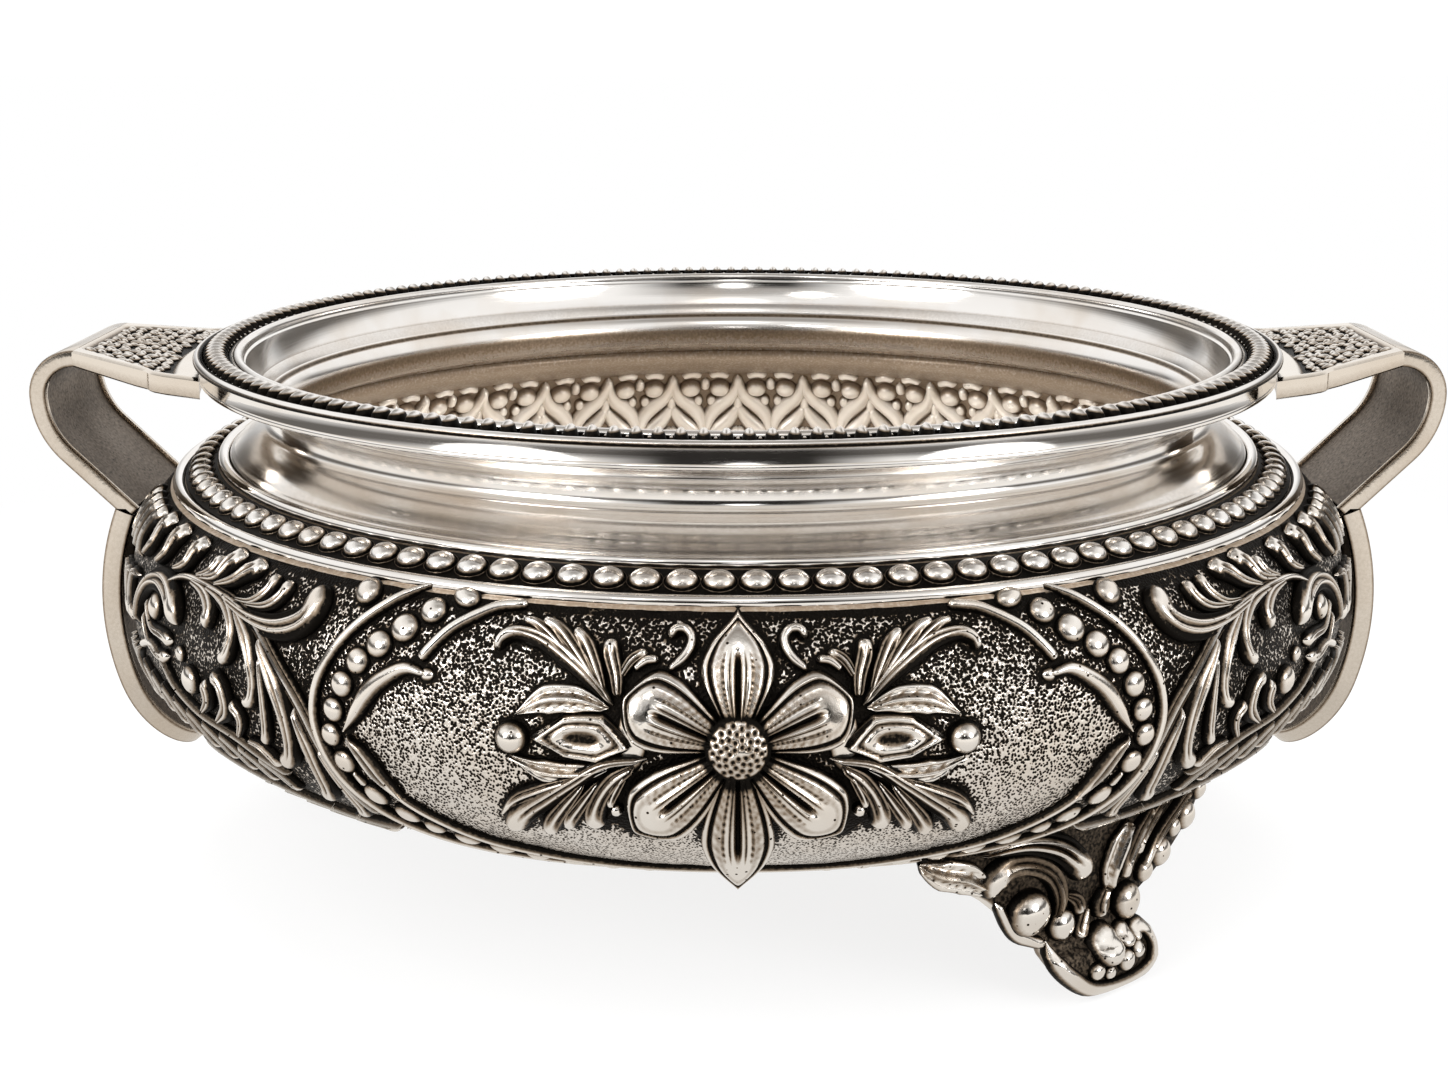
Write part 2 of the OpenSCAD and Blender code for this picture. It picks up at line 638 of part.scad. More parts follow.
module foot() {
  lean = wing_lean_share * wing_t;
  leg_top = belly_z - belly_low_h / 4;
  color(silver) difference() {
    union() {
      intersection() {
        rotate_extrude($fn = turned_fn) polygon([
          [foot_r - wing_t, toe_h], [foot_r, toe_h],
          [foot_r + lean, belly_z], [foot_r - wing_t + lean, belly_z]
        ]);
        rotate([90, 0, 0]) linear_extrude(height = belly_r) foot_outline();
      }
      intersection() {
        rotate([90, 0, -90]) translate([0, 0, -toe_half_w]) linear_extrude(height = 2 * toe_half_w)
          polygon(concat(
            [[foot_r - leg_back_shares[0][0] * leg_t, leg_top]],
            [for (p = leg_back_shares) [foot_r - p[0] * leg_t, p[1] * toe_h]],
            [for (p = toe_front_shares) [foot_r + p[0] * toe_reach, p[1] * toe_h]],
            [[foot_r + lean, leg_top]]
          ));
        rotate([90, 0, 0]) linear_extrude(height = belly_r) foot_outline();
      }
      for (b = foot_bead_shares)
        on_foot_face(b[0] * wing_reach, b[1] * wing_tip_h, 0) sphere(r = b[2] * wing_tip_h, $fn = bead_fn);
      for (b = berry_shares)
        on_foot_face(b[0] * toe_half_w, b[1] * toe_h, toe_reach / 2) sphere(r = b[2] * toe_h, $fn = bead_fn);
    }
    belly_seat();
  }
}

// A pointed leaf or petal from one point to another, as two arcs
module leaf(root, tip, width) {
  span = norm(tip - root);
  r = (span * span / width + width) / 4;
  along = (tip - root) / span;
  across = [-along[1], along[0]];
  mid = (root + tip) / 2;
  intersection() {
    translate(mid + across * (r - width / 2)) circle(r = r, $fn = outline_fn);
    translate(mid - across * (r - width / 2)) circle(r = r, $fn = outline_fn);
  }
}

// Front view of the flower about its own centre, grown by grow
module flower_outline(grow) {
  circle(r = boss_r * petal_disc_share + grow, $fn = outline_fn);
  for (i = [0:len(petal_angles) - 1]) {
    way = [cos(petal_angles[i]), sin(petal_angles[i])];
    reach = petal_reach * petal_reach_shares[i] + grow;
    leaf(way * boss_r / 2, way * reach, petal_w + 2 * grow);
  }
}

// Carries a flat front view, about the flower's centre, through the front of the bowl
module through_front() {
  translate([0, 0, flower_z]) rotate([90, 0, 0]) linear_extrude(height = belly_r + overrun) children();
}

module flower() {
  color(silver) intersection() {
    rotate_extrude($fn = turned_fn) difference() {
      translate([flower_face_r - flower_curve_r, flower_curve_z]) circle(r = flower_curve_r, $fn = turned_fn);
      translate([flower_face_r - flower_curve_r, flower_curve_z])
        circle(r = flower_curve_r - petal_t, $fn = turned_fn);
      belly_section(seat_gap);
      square([flower_face_r - flower_curve_r, lip_z]);
    }
    through_front() difference() {
      flower_outline(0);
      circle(r = boss_r + seat_gap, $fn = outline_fn);
    }
  }
}

module flower_boss() {
  dome_r = boss_r * boss_dome_share;
  color(polished) difference() {
    intersection() {
      through_front() circle(r = boss_r, $fn = outline_fn);
      translate([0, dome_r - flower_face_r - boss_h, flower_z]) sphere(r = dome_r, $fn = outline_fn);
    }
    belly_seat();
  }
}

module left_spray() {
  ball_x = spray_ball_share[0] * spray_reach;
  ball_z = spray_ball_share[1] * spray_reach;
  color(silver) difference() {
    union() {
      intersection() {
        rotate_extrude($fn = turned_fn) difference() {
          belly_section(spray_t);
          square([neck_r, lip_z]);
        }
        through_front() {
          translate([spray_hub_share[0], spray_hub_share[1]] * spray_reach)
            circle(r = spray_hub_share[2] * spray_reach, $fn = outline_fn);
          for (s = leaf_shares)
            leaf([s[0], s[1]] * spray_reach, [s[2], s[3]] * spray_reach, s[4] * spray_reach);
        }
      }
      rotate([0, 0, asin(ball_x / belly_r)]) translate([0, -belly_r - spray_ball_r / 3, flower_z + ball_z])
        sphere(r = spray_ball_r, $fn = bead_fn);
    }
    belly_seat();
    through_front() flower_outline(seat_gap);
  }
}

module mirrored() {
  mirror([1, 0, 0]) children();
}

module at_back() {
  rotate([0, 0, 180]) children();
}

bowl_body();
neck_collar();
rim_ring();
rim_bead_wire();
shoulder_moulding();
shoulder_bead_strip();
shoulder_wire();
mirrored() handle_top_plate();  // left_handle_top_plate
mirrored() handle_strap();  // left_handle_strap
mirrored() escutcheon();  // left_escutcheon
mirrored() escutcheon_saddle();  // left_escutcheon_saddle
handle_top_plate();  // right_handle_top_plate
handle_strap();  // right_handle_strap
escutcheon();  // right_escutcheon
escutcheon_saddle();  // right_escutcheon_saddle
rotate([0, 0, front_right_foot_angle]) foot();  // front_right_foot
rotate([0, 0, back_right_foot_angle]) foot();  // back_right_foot
rotate([0, 0, back_left_foot_angle]) foot();  // back_left_foot
flower();  // front_flower
flower_boss();  // front_flower_boss
left_spray();  // front_left_spray
mirrored() left_spray();  // front_right_spray
at_back() flower();  // back_flower
at_back() flower_boss();  // back_flower_boss
at_back() left_spray();  // back_left_spray
at_back() mirrored() left_spray();  // back_right_spray
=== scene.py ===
import math

import bpy
import numpy as np
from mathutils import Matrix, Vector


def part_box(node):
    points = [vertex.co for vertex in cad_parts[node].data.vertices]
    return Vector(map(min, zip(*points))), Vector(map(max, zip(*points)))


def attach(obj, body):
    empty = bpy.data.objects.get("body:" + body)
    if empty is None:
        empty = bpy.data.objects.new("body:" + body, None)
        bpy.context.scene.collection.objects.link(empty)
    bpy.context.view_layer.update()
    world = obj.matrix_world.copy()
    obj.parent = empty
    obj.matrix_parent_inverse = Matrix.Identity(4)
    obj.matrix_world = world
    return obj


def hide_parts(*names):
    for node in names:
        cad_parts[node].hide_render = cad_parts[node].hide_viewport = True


# Sizes are millimetres; Parts.build() turns them into metres
MM = 0.001
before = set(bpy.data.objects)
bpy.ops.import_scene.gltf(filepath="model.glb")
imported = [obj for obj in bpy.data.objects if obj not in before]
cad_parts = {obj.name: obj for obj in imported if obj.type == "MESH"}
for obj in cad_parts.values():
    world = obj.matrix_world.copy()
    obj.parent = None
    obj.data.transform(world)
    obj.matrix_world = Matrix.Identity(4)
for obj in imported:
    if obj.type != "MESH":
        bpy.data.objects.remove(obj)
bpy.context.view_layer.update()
rng = np.random.default_rng(12)


def span(node):
    """Lowest and highest corner of a CAD node, in millimetres."""
    low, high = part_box(node)
    return np.array(low) / MM, np.array(high) / MM


# Driving sizes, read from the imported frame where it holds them
belly_low, belly_high = span("bowl_body")
neck_high = span("neck_collar")[1]
rim_low, rim_high = span("rim_ring")
tongue_low, tongue_high = span("right_escutcheon")
strap_high = span("right_handle_strap")[1]
flower_low = span("front_flower")[0]

BELLY_R = belly_high[0]
BELLY_LOW_H, BELLY_UP_H, BELLY_POWER = 43.0, 47.2, 2.5
BELLY_Z = belly_low[2] + BELLY_LOW_H
BODY_WALL = 2.0
SHOULDER_R, SHOULDER_SLOPE = 124.2, 0.402
SKIRT_R = neck_high[0]
LIP_R, LIP_Z, RIM_BOTTOM_Z = rim_high[0], rim_high[2], rim_low[2]
FOOT_R = 112.4
FOOT_ANGLES = {"front_right_foot": 37.5, "back_right_foot": 146.5, "back_left_foot": 248.0}
FLOWER_FACE_R = -flower_low[1]
FLOWER_CURVE_R = 35.0
FLOWER_CURVE_Z = BELLY_Z - 1.6
FLOWER_Z = BELLY_Z + 2.8

# The belly's outer profile as a table over arc length, 0 at the widest ring and positive up
curve_a = np.linspace(-math.pi / 2, math.pi / 2, 8001)
curve_r = BELLY_R * np.cos(curve_a).clip(0) ** (2 / BELLY_POWER)
curve_h = np.where(curve_a < 0, BELLY_LOW_H, BELLY_UP_H)
curve_z = BELLY_Z + curve_h * np.sign(curve_a) * np.abs(np.sin(curve_a)) ** (2 / BELLY_POWER)
curve_s = np.concatenate([[0], np.cumsum(np.hypot(np.diff(curve_r), np.diff(curve_z)))])
curve_s -= np.interp(BELLY_Z, curve_z, curve_s)
SHOULDER_Z = float(np.interp(-SHOULDER_R, -curve_r[curve_a > 0], curve_z[curve_a > 0]))
TOP_S = float(np.interp(SHOULDER_Z, curve_z, curve_s))
BOTTOM_S = float(curve_s[0])


def cone_z(r):
    """Height of the sloping shoulder at a radius."""
    return SHOULDER_Z + (SHOULDER_R - r) * SHOULDER_SLOPE


def round_axis(azimuth, r, z):
    """Points at an azimuth in radians, counted from the front towards +X."""
    return np.stack(np.broadcast_arrays(r * np.sin(azimuth), -r * np.cos(azimuth), z), -1)


def on_belly(x, s, lift):
    """x is the length along the widest ring, s the arc length up the profile."""
    step = 0.05
    r, z = np.interp(s, curve_s, curve_r), np.interp(s, curve_s, curve_z)
    dr = np.interp(s + step, curve_s, curve_r) - np.interp(s - step, curve_s, curve_r)
    dz = np.interp(s + step, curve_s, curve_z) - np.interp(s - step, curve_s, curve_z)
    size = np.hypot(dr, dz).clip(1e-9)
    return round_axis(x / BELLY_R, r + lift * dz / size, z - lift * dr / size)


def inside_belly(x, s, lift):
    """The inner face of the belly, with lift towards the axis."""
    return on_belly(x, s, -lift - BODY_WALL)


def on_flower(x, y, lift):
    """x across and y up from the flower's centre, on its dished face."""
    z = FLOWER_Z + y
    off = z - FLOWER_CURVE_Z
    r = FLOWER_FACE_R - FLOWER_CURVE_R + np.sqrt((FLOWER_CURVE_R ** 2 - off ** 2).clip(1))
    return round_axis(x / FLOWER_FACE_R, r + lift, z + 0 * x)


def smooth_path(points, n):
    """n points evenly spaced along a smooth curve through the given points."""
    p = np.array(points, float)
    if len(p) > 2:
        q = np.vstack([2 * p[0] - p[1], p, 2 * p[-1] - p[-2]])
        t = np.linspace(0, 1, 12, endpoint=False)[:, None]
        rows = []
        for a, b, c, d in zip(q[:-3], q[1:-2], q[2:-1], q[3:]):
            rows.append(0.5 * (2 * b + (c - a) * t + (2 * a - 5 * b + 4 * c - d) * t ** 2
                               + (3 * b - a - 3 * c + d) * t ** 3))
        p = np.vstack(rows + [p[-1:]])
    run = np.concatenate([[0], np.cumsum(np.hypot(*np.diff(p, axis=0).T))])
    want = np.linspace(0, run[-1], n)
    return np.stack([np.interp(want, run, p[:, 0]), np.interp(want, run, p[:, 1])], 1), run[-1]


def bell(value, centre, width):
    return np.exp(-((value - centre) / width) ** 2)


def ramp(value, low, high):
    return ((value - low) / (high - low)).clip(0, 1)


# Cross sections of raised forms: height share and oxide for v across (-1 to 1) and t along (0 to 1)
def dome(v, t):
    away = np.abs(v)
    return np.sqrt(1 - v ** 2) + 0 * t, 0.5 * ramp(away, 0.36, 0.7) + 0.75 * ramp(away, 0.66, 0.88) + 0 * t


def grooved(v, t, lines=(0.0,), until=0.8, depth=0.55):
    h, dark = dome(v, t)
    fade = 1 - ramp(t, until - 0.15, until)
    for line in lines:
        h = h * (1 - depth * bell(v, line, 0.15) * fade)
        dark = dark + 1.5 * bell(v, line, 0.135) * fade
    return h, dark


def two_grooves(v, t):
    return grooved(v, t, (-0.35, 0.35), until=0.86)


def three_grooves(v, t):
    return grooved(v, t, (-0.58, 0.0, 0.56), until=0.88, depth=0.5)


def leafy(v, t):
    """A leaf with a midrib, hollow flanks with slanting veins and a turned up edge."""
    away = np.abs(v)
    h = np.sqrt(1 - v ** 2) ** 0.7
    veins = 0.5 + 0.5 * np.cos(2 * math.pi * (7 * t - 1.4 * away))
    hollow = bell(away, 0.45, 0.24)
    h = h * (0.8 + 0.2 * bell(v, 0, 0.13) - 0.3 * hollow - 0.1 * veins * hollow)
    dark = ramp(away, 0.82, 1) + 0.8 * bell(away, 0.24, 0.09) * (1 - ramp(t, 0.75, 0.95))
    return h, dark + 0.55 * hollow * ramp(veins, 0.45, 1)


def pod(v, t):
    """A bud with a double raised border round a dark punched middle."""
    reach = np.hypot(v, np.abs(2 * t - 1) ** 1.2)
    h = np.sqrt(1 - v ** 2) ** 0.6 * (0.5 + 0.5 * bell(reach, 0.8, 0.13) + 0.35 * bell(reach, 0.46, 0.1))
    dark = ramp(np.abs(v), 0.86, 0.98) + 1.1 * bell(reach, 0.63, 0.07) + 0.9 * (1 - ramp(reach, 0.22, 0.34))
    return h, dark


def petal_form(v, t):
    """A chased petal: rolled border, deep inner line, and a split rib with rows of dots beside it."""
    away = np.hypot(v, 0.97 * ramp(t, 0.72, 1) + 0 * v).clip(0, 1)
    along = (1 - ramp(t, 0.6, 0.72)) * ramp(t, 0.05, 0.12)
    h = np.sqrt(1 - away ** 2) ** 0.6
    h = h * (0.92 - 0.55 * bell(v, 0, 0.075) * along + 0.12 * bell(away, 0.17, 0.07) * along)
    h = h - 0.26 * bell(away, 0.76, 0.06) - 0.1 * bell(away, 0.36, 0.05) * along
    rows = 0.5 + 0.5 * np.cos(2 * math.pi * 21 * t)
    dark = ramp(away, 0.93, 1) + 1.3 * bell(v, 0, 0.08) * along + 1.3 * bell(away, 0.77, 0.065)
    dark = dark + 1.1 * bell(away, 0.22, 0.035) * along
    dark = dark + (0.3 + 0.8 * rows) * bell(away, 0.4, 0.045) * along
    veins = 0.5 + 0.5 * np.cos(2 * math.pi * (26 * t - 3 * away))
    dark = dark + 0.3 * veins * bell(away, 0.6, 0.12) * (1 - ramp(t, 0.55, 0.8)) * ramp(t, 0.1, 0.2)
    dark = dark + 0.28 * bell(away, 0.52, 0.1) * ramp(t, 0.25, 0.4) + 0.3 * (1 - ramp(t, 0.2, 0.45))
    # A dark ring where the petal meets the boss
    dark = dark + 1.2 * (1 - ramp(t, 0.1, 0.16))
    return h, dark


def soft_dome(v, t):
    return np.sqrt(1 - v ** 2) + 0 * t, 0.62 * ramp(np.abs(v), 0.7, 1) + 0 * t


# How far a raised form's foot goes into what carries it
SINK = 0.6


class Parts:
    """Meshes gathered for one piece, with the darkening that lies on each point: oxide, and on some pieces
    painted shade.
    """

    def __init__(self):
        self.v, self.f, self.dark, self.count = [], [], [], 0
        # Where each raised form stands: its path and its half widths
        self.feet = []

    def add(self, points, dark, loop_u=False, loop_v=False):
        """A grid of points, n by m by 3, joined into quads, closed round where asked."""
        n, m = points.shape[:2]
        i = np.arange(n if loop_u else n - 1)[:, None]
        j = np.arange(m if loop_v else m - 1)[None]
        i2, j2 = (i + 1) % n, (j + 1) % m
        faces = np.stack(np.broadcast_arrays(i * m + j, i2 * m + j, i2 * m + j2, i * m + j2), -1)
        self.take(points.reshape(-1, 3), faces.reshape(-1, 4), np.broadcast_to(dark, (n, m)).ravel())
        return self

    def take(self, v, f, dark):
        self.v.append(v)
        self.f.append(f + self.count)
        self.dark.append(np.clip(dark, 0, 1))
        self.count += len(v)

    def relief(self, base, path, half, high, form=dome, n=18, m=9, sink=SINK, ends=(False, True)):
        """A raised form along a path on a base surface. half is its half width from start
        to end, and ends says which ends are round; the others keep the width given."""
        p, length = smooth_path(path, n)
        t = np.linspace(0, 1, n)
        if ends[0] or ends[1]:
            near = 0.5 - 0.5 * np.cos(math.pi * t)
            p, t = np.stack([np.interp(near, t, p[:, k]) for k in (0, 1)], 1), near
        way = np.gradient(p, axis=0)
        way /= np.hypot(*way.T)[:, None].clip(1e-9)
        half = np.interp(t, np.linspace(0, 1, len(np.atleast_1d(half))), np.atleast_1d(half))
        cap = np.ones(n)
        for at_end, left in ((ends[0], t), (ends[1], 1 - t)):
            if at_end:
                edge = half[-1] if left[-1] == 0 else half[0]
                cap = cap * np.sqrt(1 - (1 - (left * length / max(edge, 0.01)).clip(0, 1)) ** 2)
        if not ends[0]:
            # A stem that isn't round thins out at its start
            cap = cap * ramp(t, -0.02, 0.06)
        half = (half * cap).clip(0.01)
        v = np.sin(np.linspace(-math.pi / 2, math.pi / 2, m))
        h, dark = form(v[None], t[:, None])
        # The last two points across are the foot, sunk into the base
        across = np.concatenate([v, [0.8, -0.8]])
        lift = np.concatenate([np.asarray(h) * (high * cap)[:, None], np.full((n, 2), -sink)], 1)
        dark = np.concatenate([dark + 0 * h, np.ones((n, 2))], 1)
        x = p[:, :1] - way[:, 1:] * half[:, None] * across
        y = p[:, 1:] + way[:, :1] * half[:, None] * across
        self.feet.append((p, half))
        self.add(base(x, y, lift), dark, loop_v=True)

    def oval(self, base, x, y, rx, ry, tilt, high, n=12, m=9):
        """A raised oval, turned by tilt in degrees: a polar cap with a last ring sunk into the base."""
        c, s = math.cos(math.radians(tilt)), math.sin(math.radians(tilt))
        turn = np.linspace(0, 2 * math.pi, 2 * n, endpoint=False)[:, None]
        out = np.append(np.sin(np.linspace(0, math.pi / 2, m)), 0.9)[None]
        lift = high * np.sqrt((1 - out ** 2).clip(0))
        lift[:, -1] = -SINK
        px, py = rx * out * np.cos(turn), ry * out * np.sin(turn)
        self.feet.append((np.array([[x, y]]), np.array([(rx + ry) / 2])))
        dark = 0.35 * ramp(out, 0.5, 0.8) + 0.75 * ramp(out, 0.8, 0.95) + 0 * turn
        self.add(base(x + c * px - s * py, y + s * px + c * py, lift + 0 * turn), dark, loop_u=True)

    def whole(self):
        return np.vstack(self.v), np.vstack(self.f), np.concatenate(self.dark)

    def copies(self, signs):
        """This mesh once for each pair of signs of x and y, its faces turned where it is mirrored."""
        out = Parts()
        v, f, dark = self.whole()
        for sx, sy in signs:
            out.take(v * [sx, sy, 1], f if sx * sy > 0 else f[:, ::-1], dark)
        return out

    def turned(self, degrees):
        a = math.radians(degrees)
        turn = np.array([[math.cos(a), -math.sin(a), 0], [math.sin(a), math.cos(a), 0], [0, 0, 1]])
        self.v = [v @ turn.T for v in self.v]
        return self

    def build(self, name, material, slot, nodes=(), sharp=None):
        """The piece itself, riding on the bowl. nodes are the CAD nodes that it replaces, and
        sharp is the angle in degrees past which an edge stays sharp."""
        v, f, dark = self.whole()
        v, f = v * MM, f.astype(np.int32)
        mesh = bpy.data.meshes.new(name)
        mesh.vertices.add(len(v))
        mesh.vertices.foreach_set("co", v.astype(np.float32).ravel())
        mesh.loops.add(f.size)
        mesh.loops.foreach_set("vertex_index", f.ravel())
        mesh.polygons.add(len(f))
        mesh.polygons.foreach_set("loop_start", np.arange(0, f.size, 4, dtype=np.int32))
        mesh.polygons.foreach_set("use_smooth", np.ones(len(f), bool))
        mesh.attributes.new("dark", "FLOAT", "POINT").data.foreach_set("value", dark.astype(np.float32))
        mesh.update(calc_edges=True)
        mesh.validate()
        if sharp:
            mesh.set_sharp_from_angle(angle=math.radians(sharp))
        mesh.materials.append(material)
        piece = bpy.data.objects.new(name, mesh)
        bpy.context.scene.collection.objects.link(piece)
        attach(piece, "root")
        if nodes:
            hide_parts(*nodes)


# Signs of x and y that take a form drawn at the front left to all four quarters, and one drawn
# in front to the back
ALL_ROUND = [(1, 1), (-1, 1), (-1, -1), (1, -1)]
BOTH_FACES = (("front", (1, 1)), ("back", (-1, -1)))


def revolve(profile, dark=0.0, turns=480):
    """A closed profile of (r, z) turned round the axis."""
    p = np.array(profile, float)
    a = np.linspace(0, 2 * math.pi, turns, endpoint=False)[:, None]
    dark = np.broadcast_to(dark, (len(p),))[None]
    return Parts().add(round_axis(a, p[None, :, 0], p[None, :, 1]), dark + 0 * a, loop_u=True, loop_v=True)


def arc(centre, r, start, end, n):
    a = np.radians(np.linspace(start, end, n))
    return [(centre[0] + r * math.cos(t), centre[1] + r * math.sin(t)) for t in a]


def bow(p, q, rise, n):
    """A shallow arc from p to q that bows to the left of the way there."""
    p, q = np.array(p, float), np.array(q, float)
    t = np.linspace(0, 1, n)[:, None]
    left = np.array([-(q - p)[1], (q - p)[0]]) / np.hypot(*(q - p))
    return [tuple(row) for row in p + (q - p) * t + left * rise * 4 * t * (1 - t)]


# Materials: colours from black oxide to bright metal, then noise scales and bump heights
OXIDE, BROWN, WARM = (0.010, 0.0085, 0.007), (0.30, 0.23, 0.165), (0.66, 0.55, 0.43)
SILVER, POLISH = (0.9, 0.865, 0.815), (0.88, 0.86, 0.835)
CLOUD_SCALE, GRAIN_SCALE, LINE_SCALE = 55.0, 1500.0, 2600.0
GRAIN_RISE, PUNCH_RISE, LINE_RISE = 0.04 * MM, 0.3 * MM, 0.01 * MM


class Tree:
    """A node tree, with short calls for the nodes used here."""

    def __init__(self, owner):
        owner.use_nodes = True
        self.nodes, self.links = owner.node_tree.nodes, owner.node_tree.links

    def put(self, value, socket):
        """Link a socket, or set anything else as the value."""
        if isinstance(value, bpy.types.NodeSocket):
            self.links.new(value, socket)
        else:
            socket.default_value = value

    def add(self, kind, inputs=(), **settings):
        node = self.nodes.new("ShaderNode" + kind)
        for key, value in settings.items():
            setattr(node, key, value)
        for key, value in dict(inputs).items():
            self.put(value, node.inputs[key])
        return node

    def mix(self, share, a, b):
        """Colour a where share is 0 and b where it is 1."""
        a, b = ((*c, 1) if isinstance(c, tuple) else c for c in (a, b))
        return self.add("Mix", {0: share, 6: a, 7: b}, data_type="RGBA").outputs[2]

    def fit(self, value, a, b, c=0.0, d=1.0, **settings):
        """value taken from the range a to b on to the range c to d, clamped."""
        return self.add("MapRange", {"Value": value, "From Min": a, "From Max": b,
                                     "To Min": c, "To Max": d}, **settings).outputs[0]

    def maths(self, kind, a, b=0.0):
        return self.add("Math", {0: a, 1: b}, operation=kind).outputs[0]

    def noise(self, place, scale, detail):
        return self.add("TexNoise", {"Vector": place, "Scale": scale, "Detail": detail}).outputs[0]

    def cells(self, place, size):
        return self.add("TexVoronoi", {"Vector": place, "Scale": 1 / (size * MM)}).outputs


def punched(tree, place, dark, size):
    """Oxide and height of a ground of small round punches, wider where dark is higher."""
    away = tree.cells(place, size)["Distance"]
    pit = tree.fit(tree.maths("SUBTRACT", away, tree.fit(dark, 0.0, 0.75, 0.38, 0.74)), -0.08, 0.05, 1.0, 0.0)
    return tree.maths("MAXIMUM", tree.fit(dark, 0.7, 0.95), tree.maths("MULTIPLY", pit, 0.97)), away


def cast_pits(tree, place, dark, size, floor):
    """Oxide of small casting pits, in about a third of all cells or wherever dark is over floor."""
    cell = tree.cells(place, size)
    if floor:
        chosen = tree.maths("GREATER_THAN", dark, floor)
    else:
        draw = tree.add("SeparateColor", {"Color": cell["Color"]}).outputs[0]
        chosen = tree.fit(draw, 0.62, 0.64)
    hole = tree.maths("MULTIPLY", tree.fit(cell["Distance"], 0.14, 0.2, 1.0, 0.0), chosen)
    return tree.maths("MULTIPLY", hole, 0.9)


def turning_lines(tree, place):
    """Noise that changes only with the radius and the height, as a lathe leaves it."""
    flat = tree.add("VectorMath", {0: place, 1: (1, 1, 0)}, operation="MULTIPLY").outputs[0]
    radius = tree.add("VectorMath", {0: flat}, operation="LENGTH").outputs["Value"]
    height = tree.add("SeparateXYZ", {0: place}).outputs[2]
    return tree.noise(tree.add("CombineXYZ", {0: radius, 1: height}).outputs[0], LINE_SCALE, 3.0)


def metal(name, bright, rough, stain, stipple=0.0, lines=False, pits=0.0, pit_floor=0.0,
          deepest=OXIDE, metallic=1.0):
    """Silver darkened by the dark attribute: oxide, and on some pieces painted shade. stipple is the size
    of the punched ground's cells in millimetres, lines adds turning lines, and pits is the size of the cells
    that hold
    small black casting pits: a part of them, or all where the oxide is over pit_floor."""
    material = bpy.data.materials.new(name)
    tree = Tree(material)
    place = tree.add("TexCoord").outputs["Object"]
    dark = tree.add("Attribute", attribute_name="dark").outputs["Fac"]
    cloud, fine = tree.noise(place, CLOUD_SCALE, 3.0), tree.noise(place, GRAIN_SCALE, 2.0)
    oxide_and_painted_shade, height, rise = dark, fine, GRAIN_RISE
    if stipple:
        oxide_and_painted_shade, height = punched(tree, place, dark, stipple)
        rise = PUNCH_RISE
    if pits:
        oxide_and_painted_shade = tree.maths("MAXIMUM", oxide_and_painted_shade, cast_pits(tree, place, dark, pits, pit_floor))
    uneven = tree.maths("MULTIPLY", tree.fit(fine, 0.3, 0.7, -0.12, 0.12), dark)
    oxide_and_painted_shade = tree.fit(tree.maths("ADD", oxide_and_painted_shade, uneven), 0.12, 0.9)
    tone = tree.mix(tree.fit(cloud, 0.42, 0.72, 0.0, stain), bright, WARM)
    colour = tree.mix(tree.fit(oxide_and_painted_shade, 0.0, 0.5), tone, BROWN)
    colour = tree.mix(tree.fit(oxide_and_painted_shade, 0.45, 1.0), colour, deepest)
    roughness = tree.fit(oxide_and_painted_shade, 0.0, 1.0, rough, 0.55)
    roughness = tree.maths("ADD", roughness, tree.fit(cloud, 0.3, 0.7, -0.04, 0.06))
    if lines:
        height, rise = turning_lines(tree, place), LINE_RISE
        roughness = tree.maths("ADD", roughness, tree.fit(height, 0.3, 0.7, -0.03, 0.05))
    bump = tree.add("Bump", {"Height": height, "Strength": 0.6, "Distance": rise})
    shader = tree.nodes["Principled BSDF"]
    for key, value in (("Metallic", metallic), ("Base Color", colour), ("Roughness", roughness),
                       ("Normal", bump.outputs[0])):
        tree.put(value, shader.inputs[key])
    return material


chased = metal("oxidised_silver", SILVER, 0.11, stain=0.4, pits=1.5)
ground = metal("punched_ground", (0.84, 0.8, 0.75), 0.24, stain=0.3, stipple=0.54)
polished = metal("polished_silver", POLISH, 0.05, stain=0.2, lines=True)
spun = metal("spun_silver", POLISH, 0.11, stain=0.45, lines=True)
bright = metal("bead_silver", POLISH, 0.18, stain=0.4)
plain = metal("plain_silver", (0.8, 0.74, 0.66), 0.1, stain=0.45, pits=1.1, pit_floor=0.5)
# The inside's silver is a brighter copy with a lighter brown oxide: painted light, for the light that bounces
# round inside the bowl
inner = metal("soft_inner_silver", (0.95, 0.9, 0.83), 0.3, stain=0.35, deepest=(0.2, 0.145, 0.1),
              metallic=0.45)
dull = metal("dull_punched_silver", (0.42, 0.39, 0.35), 0.42, stain=0.5, stipple=1.4)

# One quarter of the belly's chasing, left of the front flower: x along the widest ring, s up the profile
quarter = Parts()


def wire(path, half, high=1.2, n=40, form=dome, ends=(True, True)):
    quarter.relief(on_belly, path, half, high, form, n, 9, ends=ends)


def comma(path, end_r, start=0.5, high=1.6, mid=None, form=three_grooves, n=24, m=19):
    """A leaf that swells from its stem to a round end."""
    half = [start, mid or (start + end_r) / 2, end_r, end_r]
    quarter.relief(on_belly, path, half, high, form, n, m)


